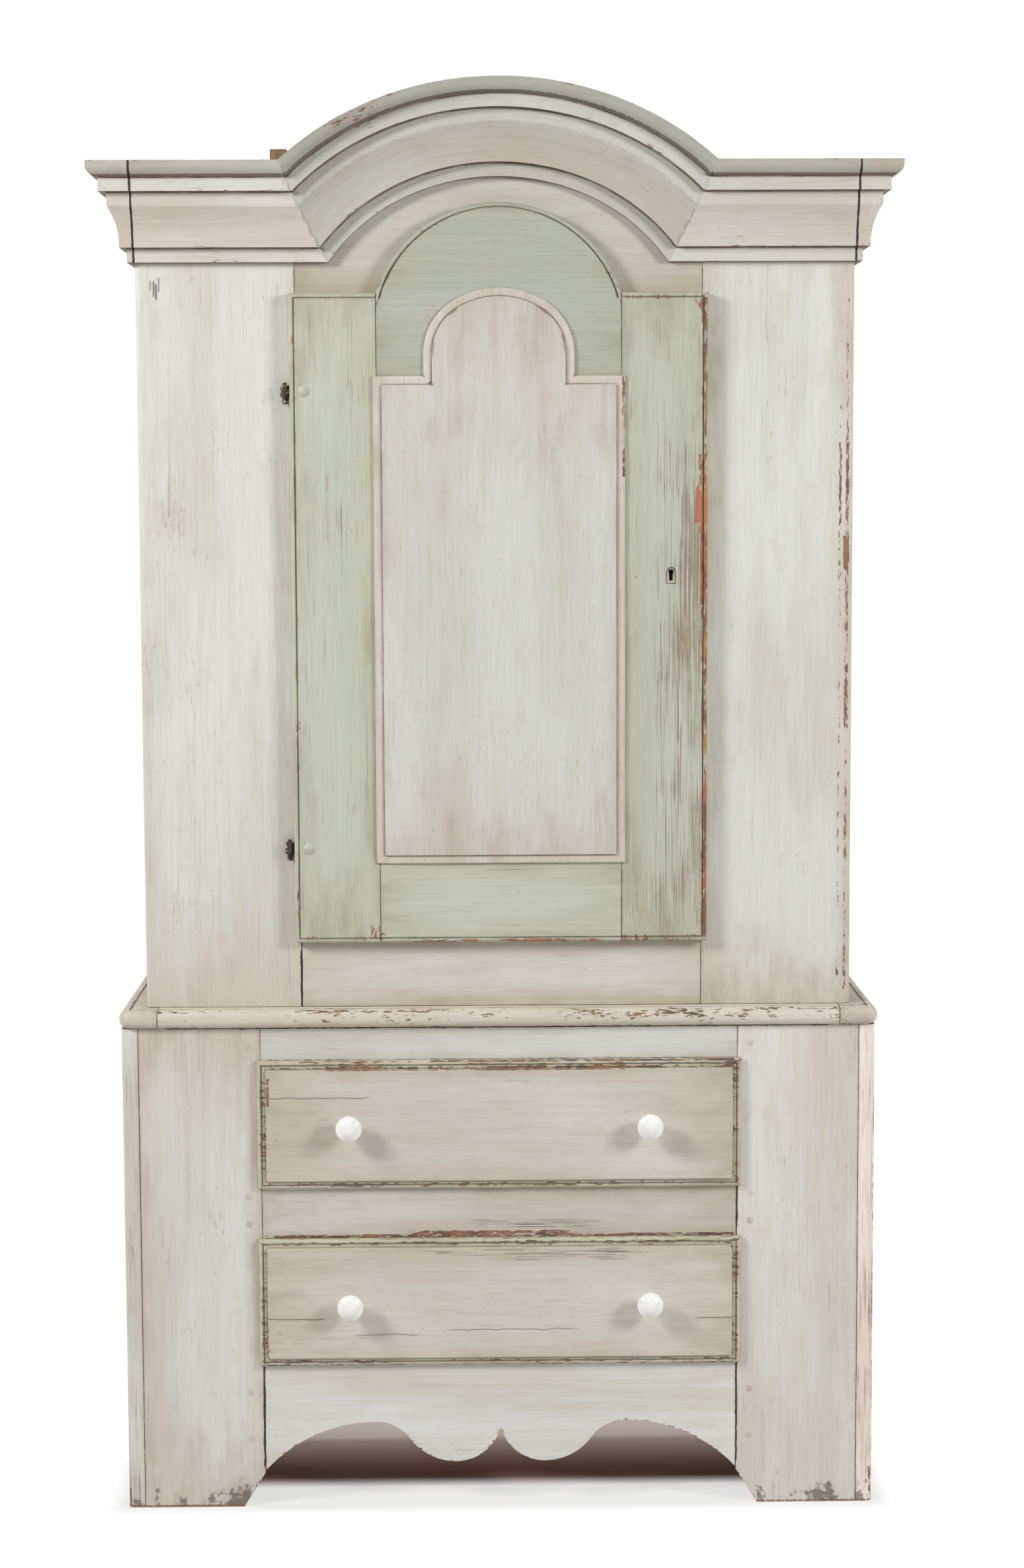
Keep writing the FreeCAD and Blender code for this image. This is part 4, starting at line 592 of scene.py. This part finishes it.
# Places where the paint is rubbed through: span in x, span in z, strength, fade in x, fade in z.
GREEN_RUBBED = (
    ((0.284, 0.299), (1.438, 1.482), 0.84, 3 * MM, 8 * MM),
    ((0.291, 0.299), (1.32, 1.438), 0.68, 2 * MM, 6 * MM),
    ((0.2955, 0.299), (0.84, 1.75), 0.64, 1.2 * MM, 1.2 * MM),
    ((0.288, 0.2985), (1.42, 1.53), 0.56, 2 * MM, 2 * MM),
    ((0.18, 0.3), (0.834, 0.838), 0.4, 5 * MM, 5 * MM),
    ((-0.12, 0.16), (0.834, 0.837), 0.5, 3 * MM, 3 * MM),
    ((-0.18, -0.165), (0.84, 0.855), 0.36, 6 * MM, 6 * MM),
)
WHITE_RUBBED = (
    ((-0.5, 0.5), (0.717, 0.735), 0.12, 5 * MM, 5 * MM),
    ((-0.06, 0.36), (0.726, 0.735), 0.34, 3 * MM, 3 * MM),
    ((-0.5, 0.5), (0.7345, 0.737), 0.3, 2 * MM, 2 * MM),
    ((-0.5, 0.55), (0.711, 0.713), 0.3, 1.5 * MM, 1.5 * MM),
    ((0.5, 0.5025), (0.76, 1.75), 0.42, 1.5 * MM, 1.5 * MM),
    ((0.4995, 0.503), (1.14, 1.42), 0.5, 1.5 * MM, 1.5 * MM),
    ((0.497, 0.503), (1.37, 1.412), 0.76, 2 * MM, 6 * MM),
    ((0.499, 0.503), (1.15, 1.235), 0.62, 1.5 * MM, 10 * MM),
    ((0.49, 0.492), (0.78, 1.6), 0.32, 1.5 * MM, 1.5 * MM),
    ((-0.275, -0.175), (1.99, 2.03), 0.15, 14 * MM, 14 * MM),
    ((0.179, 0.184), (1.5, 1.64), 0.5, 1.5 * MM, 1.5 * MM),
    # These three rows draw a dark line on the rail along the top of the lower drawer: worn paint, and a painted
    # shadow of the gap.
    ((-0.34, 0.34), (0.401, 0.4045), 0.64, 1.5 * MM, 1.5 * MM),
    ((-0.2, 0.12), (0.401, 0.405), 0.7, 1.5 * MM, 1.5 * MM),
    ((-0.1, 0.08), (0.404, 0.409), 0.7, 60 * MM, 3 * MM),
    ((-0.1, 0.34), (0.661, 0.6635), 0.7, 1 * MM, 1 * MM),
    ((-0.34, -0.1), (0.661, 0.6635), 0.4, 1 * MM, 1 * MM),
    ((-0.25, 0.18), (0.65, 0.6535), 0.7, 1.5 * MM, 1.5 * MM),
    ((-0.34, 0.34), (0.651, 0.6535), 0.5, 1.2 * MM, 1.2 * MM),
    ((-0.34, -0.3375), (0.49, 0.65), 0.34, 1.2 * MM, 1.2 * MM),
    ((-0.336, -0.333), (0.6, 0.635), 0.62, 1.2 * MM, 8 * MM),
    ((0.3375, 0.34), (0.49, 0.65), 0.34, 1.2 * MM, 1.2 * MM),
    ((-0.34, -0.3375), (0.225, 0.388), 0.32, 1.2 * MM, 1.2 * MM),
    ((0.3375, 0.34), (0.225, 0.388), 0.32, 1.2 * MM, 1.2 * MM),
    ((-0.34, 0.34), (0.212, 0.2145), 0.4, 1.2 * MM, 1.2 * MM),
    ((0.5435, 0.545), (0.0, 0.62), 0.5, 1 * MM, 1 * MM),
    ((-0.55, 0.55), (0.0, 0.0025), 0.8, 2 * MM, 1.5 * MM),
    ((0.538, 0.546), (0.0, 0.05), 0.6, 5 * MM, 12 * MM),
    ((-0.55, -0.543), (0.0, 0.025), 0.7, 2 * MM, 6 * MM),
)
# Places where worn grain shows as thin lines: span in x, span in z, strength, fade in x, fade in z.
GREEN_SCORED = (
    ((0.262, 0.292), (1.15, 1.45), 0.42, 16 * MM, 140 * MM),
    ((0.235, 0.295), (0.9, 1.5), 0.28, 26 * MM, 200 * MM),
    ((0.18, 0.3), (0.9, 1.7), 0.12, 8 * MM, 60 * MM),
    ((-0.29, -0.18), (0.9, 1.7), 0.08, 8 * MM, 60 * MM),
)
WHITE_SCORED = (
    ((0.525, 0.545), (0.0, 0.7), 0.24, 4 * MM, 4 * MM),
    ((-0.545, -0.525), (0.0, 0.7), 0.16, 4 * MM, 4 * MM),
)
# Grey smears along the grain: span in x, span in z, strength, fade in x, fade in z.
WHITE_SMEARED = (
    ((-0.4885, -0.4873), (1.766, 1.775), 0.8, 1.5 * MM, 5 * MM),
    ((-0.484, -0.4828), (1.757, 1.775), 0.95, 1.5 * MM, 5 * MM),
    ((-0.4805, -0.4793), (1.752, 1.771), 0.95, 1.5 * MM, 5 * MM),
    ((-0.4765, -0.4753), (1.763, 1.779), 0.8, 1.5 * MM, 5 * MM),
    ((-0.08, 0.16), (0.374, 0.382), 0.34, 40 * MM, 8 * MM),
    ((-0.02, 0.12), (0.416, 0.424), 0.34, 50 * MM, 8 * MM),
)
# Splits in the boards: span in x, span in z, strength, fade in x, fade in z.
WHITE_SPLIT = (
    ((-0.338, -0.2), (0.6092, 0.61), 1.0, 20 * MM, 0.9 * MM),
    ((-0.057, 0.096), (0.266, 0.2668), 0.9, 30 * MM, 0.9 * MM),
    ((0.29, 0.338), (0.281, 0.282), 1.0, 10 * MM, 1 * MM),
    ((-0.338, -0.26), (0.283, 0.284), 1.0, 12 * MM, 1 * MM),
    ((-0.2, -0.13), (0.2595, 0.2602), 0.9, 20 * MM, 0.9 * MM),
)
EDGE_RUB = {
    "waist_moulding_front": 0.3, "waist_moulding_left": 0.3, "waist_moulding_right": 0.34,
    "upper_drawer_front": 0.36, "lower_drawer_front": 0.36, "base_side_left": 0.22, "base_side_right": 0.3,
    "door_stile_right": 0.4, "case_stile_right": 0.3, "case_stile_left": 0.15, "cornice_arch": 0.1,
    "cornice_front_left": 0.1, "cornice_front_right": 0.12, "cornice_return_left": 0.14,
    "cornice_return_right": 0.16, "base_stile_left": 0.24, "base_stile_right": 0.24, "base_apron": 0.22,
}
PLAIN_EDGE_RUB = 0.17
# How dark the inward lines of a piece are drawn: dirt, and painted shade in the creases.
CREASE_DIRT_AND_SHADE_SHARES = {
    "cornice_arch": 1.0, "cornice_front_left": 1.0, "cornice_front_right": 1.0, "cornice_return_left": 1.0,
    "cornice_return_right": 1.0, "upper_drawer_front": 0.5, "lower_drawer_front": 0.5, "door_panel": 0.7,
    "door_top_rail": 0.4, "door_stile_left": 0.3, "door_stile_right": 0.5, "door_bottom_rail": 0.6,
}
PLAIN_CREASE_DIRT_AND_SHADE_SHARE = 0.8

# Shade of the old paint on a piece, as shares of red, green and blue; the cornice, the tympanum and the door's top
# rail are also made darker as painted shade under the cornice.
TONE_AND_SHADE_SHARES = {
    "door_panel": (0.92, 0.925, 0.925), "door_top_rail": (0.83, 0.84, 0.85), "door_stile_right": (0.94, 0.94, 0.94),
    "case_bottom_rail": (0.93, 0.91, 0.88), "cornice_front_left": (0.9, 0.88, 0.84),
    "cornice_front_right": (0.86, 0.85, 0.82), "cornice_return_left": (0.92, 0.9, 0.87),
    "cornice_return_right": (0.9, 0.88, 0.85), "cornice_arch": (0.78, 0.78, 0.75),
    "case_tympanum": (0.8, 0.78, 0.72), "upper_drawer_front": (0.93, 0.9, 0.86),
    "lower_drawer_front": (0.96, 0.93, 0.89), "base_middle_rail": (0.9, 0.87, 0.85),
    "base_top_rail": (0.95, 0.97, 0.99), "base_stile_right": (1.03, 1.02, 1.02),
    "waist_moulding_front": (0.98, 0.92, 0.84),
    "base_apron": (1.06, 1.07, 1.1), "case_stile_right": (0.97, 0.985, 0.96), "case_stile_left": (0.99, 0.995, 0.98),
}
PLAIN_TONE_SHARES = (1.0, 1.0, 1.0)
FRONT_TONE_SHARES = {"base_side_right": (1.28, 1.2, 1.17)}
LIP_TONE_SHARES = {"upper_drawer_front": (0.9, 0.93, 0.85), "lower_drawer_front": (0.9, 0.93, 0.84),
                   "door_panel": (0.99, 0.97, 0.94)}
# The cornice's steps by how far a face stands out: up to this reach, shares of the piece's own shade. The fillets
# are painted lighter and the cove and the top moulding darker, as painted light and shade, with a warmer cove.
CORNICE_LIGHT_AND_SHADE_SHARES = (
    (12 * MM, (1.03, 1.03, 1.03)), (33.5 * MM, (0.97, 0.95, 0.92)), (35 * MM, (1.04, 1.04, 1.03)),
    (45.5 * MM, (1.06, 1.07, 1.08)), (61 * MM, (0.77, 0.77, 0.76)),
)
# Undersides of the cornice's steps, painted dark as shade: shares of the piece's own colour.
UNDERSIDE_SHADE_SHARES = (0.32, 0.28, 0.25)
SOIL_SHARES = {"base_apron": 0.3, "base_side_left": 0.3, "base_side_right": 0.3, "base_top_rail": 0.5,
               "base_stile_right": 0.4, "case_stile_left": 0.6, "waist_moulding_front": 0.3, "cornice_arch": 0.0,
               "cornice_front_left": 0.3, "cornice_front_right": 0.3, "cornice_return_left": 0.4,
               "cornice_return_right": 0.4, "door_panel": 0.85}
# How much further the soil reaches down from the upper end of a piece than up from its lower end.
UPPER_REACH = {"door_panel": 2.2}


def soiling(name, point, axis):
    """How far a board is soiled: more at its ends and along its sides."""
    low, high = boxes[name]
    soil = 0.0
    for index in range(3):
        if index != (0 if name in FACING_ASIDE else 1):
            reach = END_SOIL if index == axis else SIDE_SOIL
            upper_reach = reach * UPPER_REACH.get(name, 1.0) if index == 2 else reach
            soil = max(soil, 1.0 - (point[index] - low[index]) / reach)
            soil = max(soil, 1.0 - (high[index] - point[index]) / upper_reach)
    return max(0.0, soil) * SOIL_SHARES.get(name, 1.0)


def is_front(normal):
    """Whether a face looks to the front."""
    return normal.y < -0.3


def tone_and_shade_of(name, normal, centre):
    """The shade of the paint on a face, with painted shade in it; lips differ from their fields, the cornice's steps
    are painted lighter and darker, and its undersides dark.
    """
    tone = TONE_AND_SHADE_SHARES.get(name, PLAIN_TONE_SHARES)
    if any(name in names for names in BARE.values()):
        tone = [0.86 + 0.04 * (zlib.crc32(name.encode()) % 8)] * 3
    if name in LIP_TONE_SHARES and centre.y > boxes[name][0].y + 3 * MM:
        tone = LIP_TONE_SHARES[name]
    if name in FRONT_TONE_SHARES and is_front(normal):
        tone = FRONT_TONE_SHARES[name]
    if name.startswith("cornice"):
        reach = max(boxes["case_stile_left"][0].y - centre.y, abs(centre.x) - boxes["case_stile_right"][1].x)
        shares = next(shares for limit, shares in CORNICE_LIGHT_AND_SHADE_SHARES if reach < limit)
        # Faces that look down, towards the arch's centre on the arch, are painted dark as shade.
        down = Vector((ARCH_CENTRE.x - centre.x, 0.0, ARCH_CENTRE.z - centre.z)).normalized()
        if normal.dot(down if name == "cornice_arch" else Vector((0.0, 0.0, -1.0))) > 0.8:
            shares = UNDERSIDE_SHADE_SHARES
        tone = [own * share for own, share in zip(tone, shares)]
    return (*tone, 1.0)


def is_painted(name, normal, centre):
    """Whether a face was painted: the fronts and outer sides, not the insides and backs."""
    if name.startswith(("base_side", "case_side")):
        outward = -1 if name.endswith("left") else 1
        return normal.x * outward > 0.3 or is_front(normal)
    if name.endswith("drawer_front"):
        return centre.y < boxes["base_top_rail"][0].y - 0.2 * MM
    return normal.y < 0.6


def keep(mesh, key, kind, domain, part, values):
    """Keeps values on the points, corners or faces of a mesh."""
    layer = mesh.attributes.new(key, kind, domain)
    layer.data.foreach_set(part, np.asarray(values, np.float32).reshape(-1))


def aged(name, direction, material, is_bare=False):
    """A wooden piece as a worn board: rounded edges, uneven faces and marks of wear kept on its points."""
    bm = bmesh.new()
    bm.from_mesh(nodes[name].data)
    bmesh.ops.remove_doubles(bm, verts=bm.verts, dist=1e-6)
    bmesh.ops.dissolve_limit(bm, angle_limit=FLAT_ANGLE, verts=bm.verts, edges=bm.edges)
    bm.normal_update()
    sharp = [edge for edge in bm.edges
             if len(edge.link_faces) == 2 and edge.calc_face_angle(0) > SHARP_ANGLE]
    layer = number_surfaces(bm, sharp)
    lines = border_lines(name, sharp, layer)
    filled = [line for (kind, surface), found in lines.items() if kind == "filled" for line in found]
    middles = np.array([(edge.verts[0].co + edge.verts[1].co) / 2 for edge in sharp])
    rounded = [edge for edge, gap in zip(sharp, gaps_from(filled, middles)) if gap > EDGE_ROUNDING]
    bmesh.ops.bevel(bm, geom=rounded, offset=EDGE_ROUNDING, offset_type="OFFSET", segments=2, profile=0.6,
                    affect="EDGES", clamp_overlap=True)
    axis = {"x": 0, "y": 1, "z": 2, "arch": 0}[direction]
    cells = [CELL_ACROSS] * 3
    cells[axis] = FINE_CELL if name in FINE_NODES else CELL_ALONG
    cut_into_cells(bm, cells)
    bmesh.ops.remove_doubles(bm, verts=bm.verts, dist=LEAST_EDGE)
    bmesh.ops.dissolve_degenerate(bm, dist=LEAST_EDGE, edges=bm.edges)
    bm.normal_update()

    mesh = bpy.data.meshes.new(name + "_worn")
    surfaces = np.array([face[layer] for face in bm.faces])
    normals = [vertex.normal.copy() for vertex in bm.verts]
    rest = [vertex.co.copy() for vertex in bm.verts]
    bm.to_mesh(mesh)
    bm.free()
    places = np.array(rest)
    corner_vertex = np.array([loop.vertex_index for loop in mesh.loops])
    corner_surface = np.repeat(surfaces, [face.loop_total for face in mesh.polygons])
    gaps = {kind: corner_gaps(lines, kind, places, corner_vertex, corner_surface)
            for kind in ("edge", "crease", "seam", "open")}

    seed = zlib.crc32(name.encode()) % 1000
    shift = Vector((seed * 0.37, seed * 0.11, seed * 0.07))
    edge_gaps = np.full(len(rest), EDGE_RANGE)
    np.minimum.at(edge_gaps, corner_vertex, gaps["edge"])
    filled_gaps = gaps_from(filled, places)
    for vertex, place, normal, edge_gap, filled_gap in zip(mesh.vertices, rest, normals, edge_gaps, filled_gaps):
        sunk = UNEVEN_DEPTH * (0.5 + 0.5 * noise.noise((place + shift) * UNEVEN_SCALE))
        if edge_gap < 2 * MM:
            sunk += NICK_DEPTH * max(0.0, noise.noise((place + shift) * NICK_SCALE) - 0.25)
        vertex.co = place - normal * sunk * min(1.0, filled_gap / FILLED_REACH)

    keep(mesh, "edge", "FLOAT", "CORNER", "value", gaps["edge"])
    keep(mesh, "crease", "FLOAT", "CORNER", "value", gaps["crease"])
    keep(mesh, "seam", "FLOAT", "CORNER", "value", gaps["seam"])
    keep(mesh, "gape_and_shadow", "FLOAT", "CORNER", "value", gaps["open"])
    keep(mesh, "edge_rub", "FLOAT", "POINT", "value", [EDGE_RUB.get(name, PLAIN_EDGE_RUB)] * len(rest))
    keep(mesh, "crease_dirt_and_shade_share", "FLOAT", "POINT", "value", [CREASE_DIRT_AND_SHADE_SHARES.get(name, PLAIN_CREASE_DIRT_AND_SHADE_SHARE)] * len(rest))
    keep(mesh, "soil", "FLOAT", "POINT", "value", [soiling(name, point, axis) for point in rest])
    keep(mesh, "grain", "FLOAT_VECTOR", "POINT", "vector",
         [grain_place(point, direction, shift) for point in rest])
    keep(mesh, "tone", "FLOAT_COLOR", "FACE", "color",
         [tone_and_shade_of(name, face.normal, face.center) for face in mesh.polygons])
    keep(mesh, "front", "FLOAT", "FACE", "value", [float(is_front(face.normal)) for face in mesh.polygons])
    keep(mesh, "paint", "FLOAT", "FACE", "value",
         [0.0 if is_bare else float(is_painted(name, face.normal, face.center)) for face in mesh.polygons])
    mesh.polygons.foreach_set("use_smooth", [True] * len(mesh.polygons))
    mesh.materials.append(material)
    piece = bpy.data.objects.new(name + "_worn", mesh)
    bpy.context.scene.collection.objects.link(piece)
    weights = piece.modifiers.new("even_normals", "WEIGHTED_NORMAL")
    weights.weight = 90
    weights.keep_sharp = True
    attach(piece, nodes[name]["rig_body"])
    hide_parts(name)
    return piece


def dress(name, material):
    """Gives a CAD node its material."""
    mesh = nodes[name].data
    mesh.materials.clear()
    mesh.materials.append(material)


white_paint = painted_wood("white_paint", linear(224, 224, 219), linear(215, 216, 213),
                           linear(209, 201, 184), linear(174, 163, 142), linear(84, 60, 52),
                           linear(144, 94, 70), WHITE_RUBBED, WHITE_SCORED, WHITE_SMEARED,
                           WHITE_SPLIT)
green_paint = painted_wood("green_paint", linear(201, 205, 190), linear(195, 202, 188),
                           linear(194, 194, 172), linear(154, 151, 128), linear(110, 74, 60),
                           linear(182, 110, 74), GREEN_RUBBED, GREEN_SCORED)
raw_pine = bare_wood("raw_pine", linear(112, 94, 76), 0.7)
washed_pine = bare_wood("washed_pine", linear(216, 208, 190), 1.0)
for direction, names in WHITE.items():
    for name in names:
        aged(name, direction, white_paint)
for direction, names in GREEN.items():
    for name in names:
        aged(name, direction, green_paint)
for direction, names in BARE.items():
    for name in names:
        aged(name, direction, washed_pine if name == "top_battens" else raw_pine, True)
aged("keyhole_escutcheon", "z", green_paint)
bare_iron = old_iron("bare_iron", 1.0)
hinge_iron = old_iron("hinge_iron", 0.59)
painted_iron = old_iron("painted_iron", 0.32)
glazed = porcelain("glazed_porcelain")
for names, material in ((BARE_IRON, bare_iron), (HINGE_IRON, hinge_iron), (PAINTED_IRON, painted_iron)):
    for name in names:
        dress(name, material)
for name in PORCELAIN:
    dress(name, glazed)
    smooth = nodes[name].modifiers.new("even_normals", "WEIGHTED_NORMAL")
    smooth.keep_sharp = True


def add_light(name, place, target, size, power, colour=(1.0, 1.0, 1.0)):
    """A square soft lamp that points at a target."""
    lamp = bpy.data.lights.new(name, "AREA")
    lamp.shape = "SQUARE"
    lamp.size = size
    lamp.energy = power
    lamp.color = colour
    thing = bpy.data.objects.new(name, lamp)
    thing.location = place
    thing.rotation_euler = (Vector(target) - Vector(place)).to_track_quat("-Z", "Y").to_euler()
    bpy.context.scene.collection.objects.link(thing)
    return thing


LAMP_TARGET = (0.0, -0.2, 1.0)
# The floor's size, where its shadow shows, and the zone deep under the cabinet that gets a painted warm shade and a
# painted glow of light from behind.
FLOOR_REACH = 9.0
SHADOW_FADE = 35 * MM
SHADOW_START = 50 * MM
SHADOW_FULL = 125 * MM
BACK_LIGHT = 100 * MM
DEEP_INSET = 200 * MM
DEEP_FADE = 100 * MM
CONTACT_SHADE = 0.35
add_light("left_softbox", (-3.0, -1.95, 2.9), LAMP_TARGET, 0.9, 104)
add_light("right_softbox", (3.15, -2.25, 2.35), LAMP_TARGET, 0.9, 86)


def seen_rays(tree):
    """One for the rays by which the camera sees a thing, straight on, in a mirror or through glass."""
    rays = tree.nodes.new("ShaderNodeLightPath")
    total = rays.outputs["Is Camera Ray"]
    for name in ("Is Glossy Ray", "Is Transmission Ray"):
        either = tree.nodes.new("ShaderNodeMath")
        either.operation = "MAXIMUM"
        tree.links.new(total, either.inputs[0])
        tree.links.new(rays.outputs[name], either.inputs[1])
        total = either.outputs["Value"]
    return total


def white_world():
    """Plain studio surroundings that show white."""
    world = bpy.data.worlds.new("studio")
    world.use_nodes = True
    tree = world.node_tree
    tree.nodes.clear()
    seen = seen_rays(tree)
    soft = tree.nodes.new("ShaderNodeBackground")
    soft.inputs["Strength"].default_value = 0.185
    plain = tree.nodes.new("ShaderNodeBackground")
    plain.inputs["Strength"].default_value = 1.0
    for item in (soft, plain):
        item.inputs["Color"].default_value = (1.0, 1.0, 1.0, 1.0)
    choice = tree.nodes.new("ShaderNodeMixShader")
    tree.links.new(seen, choice.inputs["Fac"])
    tree.links.new(soft.outputs["Background"], choice.inputs[1])
    tree.links.new(plain.outputs["Background"], choice.inputs[2])
    output = tree.nodes.new("ShaderNodeOutputWorld")
    tree.links.new(choice.outputs["Shader"], output.inputs["Surface"])
    bpy.context.scene.world = world


def white_floor():
    """A pale floor that shows white and keeps the shadow under and close around the cabinet; deep under it the floor
    gets a painted warm shade colour and a painted glow of light from behind.
    """
    mesh = bpy.data.meshes.new("floor")
    mesh.from_pydata([(-FLOOR_REACH, -FLOOR_REACH, 0), (FLOOR_REACH, -FLOOR_REACH, 0),
                      (FLOOR_REACH, FLOOR_REACH, 0), (-FLOOR_REACH, FLOOR_REACH, 0)], [], [(0, 1, 2, 3)])
    floor = bpy.data.objects.new("floor", mesh)
    bpy.context.scene.collection.objects.link(floor)
    graph = Graph("pale_floor")
    place = graph.node("ShaderNodeSeparateXYZ")
    graph.put(place.inputs["Vector"], graph.node("ShaderNodeNewGeometry").outputs["Position"])
    left, right = boxes["base_side_left"][0].x, boxes["base_side_right"][1].x
    front, back = boxes["base_stile_left"][0].y, boxes["base_side_left"][1].y
    near = graph.inside(place.outputs["X"], (left + SHADOW_FADE, right - SHADOW_FADE), 1.4 * SHADOW_FADE)
    lit = graph.span(place.outputs["Y"], front + SHADOW_START, front + SHADOW_FULL)
    near = graph.math("MULTIPLY", near, lit)
    near = graph.math("MULTIPLY", near, graph.span(place.outputs["Y"], back + SHADOW_FADE, back))
    outline = graph.math("MULTIPLY", graph.inside(place.outputs["X"], (left, right), SHADOW_FADE),
                         graph.inside(place.outputs["Y"], (front, back), SHADOW_FADE))
    near = graph.math("MAXIMUM", near, graph.math("MULTIPLY", outline, CONTACT_SHADE))
    deep = graph.inside(place.outputs["X"], (left + DEEP_INSET, right - DEEP_INSET), DEEP_FADE)
    deep = graph.math("MULTIPLY", deep, lit)
    # Deep under the cabinet, away from the back, the floor turns warm brown: a painted shade colour standing for
    # light thrown back by the wood.
    matte = graph.node("ShaderNodeBsdfDiffuse")
    painted_shade_brown = graph.math("MULTIPLY", deep, graph.span(place.outputs["Y"], back - 150 * MM, back - 270 * MM))
    graph.put(matte.inputs["Color"], graph.mix(painted_shade_brown, (0.78, 0.76, 0.75, 1.0), (0.84, 0.52, 0.46, 1.0)))
    white = graph.node("ShaderNodeEmission")
    graph.put(white.inputs["Color"], (1.0, 1.0, 1.0, 1.0))
    graph.put(white.inputs["Strength"], 1.0)
    seen = seen_rays(graph.tree)
    share = graph.math("MULTIPLY", seen, graph.math("SUBTRACT", 1.0, near))
    # A painted glow seen by the camera under the cabinet: warm red at the front, paler and brighter towards the back
    # with a step, as light coming in from behind; no lamp is there.
    painted_glow = graph.node("ShaderNodeEmission")
    depth = graph.span(place.outputs["Y"], front + SHADOW_FULL, back - BACK_LIGHT)
    graph.put(painted_glow.inputs["Color"], graph.mix(depth, (1.0, 0.64, 0.59, 1.0), (1.0, 0.88, 0.87, 1.0)))
    edge = back - 2 * BACK_LIGHT
    painted_back_light = graph.math("ADD", graph.span(place.outputs["Y"], edge - 15 * MM, edge + 15 * MM, 0.0, 0.12),
                            graph.math("MULTIPLY_ADD", depth, 0.29, 0.01))
    painted_back_light = graph.math("MULTIPLY", painted_back_light, deep)
    graph.put(painted_glow.inputs["Strength"], graph.math("MULTIPLY", seen, painted_back_light))
    shaded = graph.node("ShaderNodeAddShader")
    graph.tree.links.new(matte.outputs["BSDF"], shaded.inputs[0])
    graph.tree.links.new(painted_glow.outputs["Emission"], shaded.inputs[1])
    both = graph.node("ShaderNodeMixShader")
    graph.put(both.inputs["Fac"], share)
    graph.tree.links.new(shaded.outputs["Shader"], both.inputs[1])
    graph.tree.links.new(white.outputs["Emission"], both.inputs[2])
    output = graph.node("ShaderNodeOutputMaterial")
    graph.tree.links.new(both.outputs["Shader"], output.inputs["Surface"])
    mesh.materials.append(graph.material)


def photo_camera():
    """The camera at the photo's place and angle."""
    data = bpy.data.cameras.new("photo_camera")
    data.sensor_fit = "AUTO"
    data.sensor_width = SENSOR
    data.lens = CAMERA_FOCUS_PIXELS / PHOTO_HEIGHT * SENSOR
    camera = bpy.data.objects.new("photo_camera", data)
    camera.location = CAMERA_PLACE
    turned = Euler((math.pi / 2 - CAMERA_PITCH, 0.0, -CAMERA_YAW), "XYZ").to_matrix()
    rolled = Euler((0.0, 0.0, CAMERA_ROLL), "XYZ").to_matrix()
    camera.rotation_euler = (turned @ rolled).to_euler()
    bpy.context.scene.collection.objects.link(camera)
    bpy.context.scene.camera = camera


white_world()
white_floor()
photo_camera()
bpy.context.scene.view_settings.view_transform = "Standard"
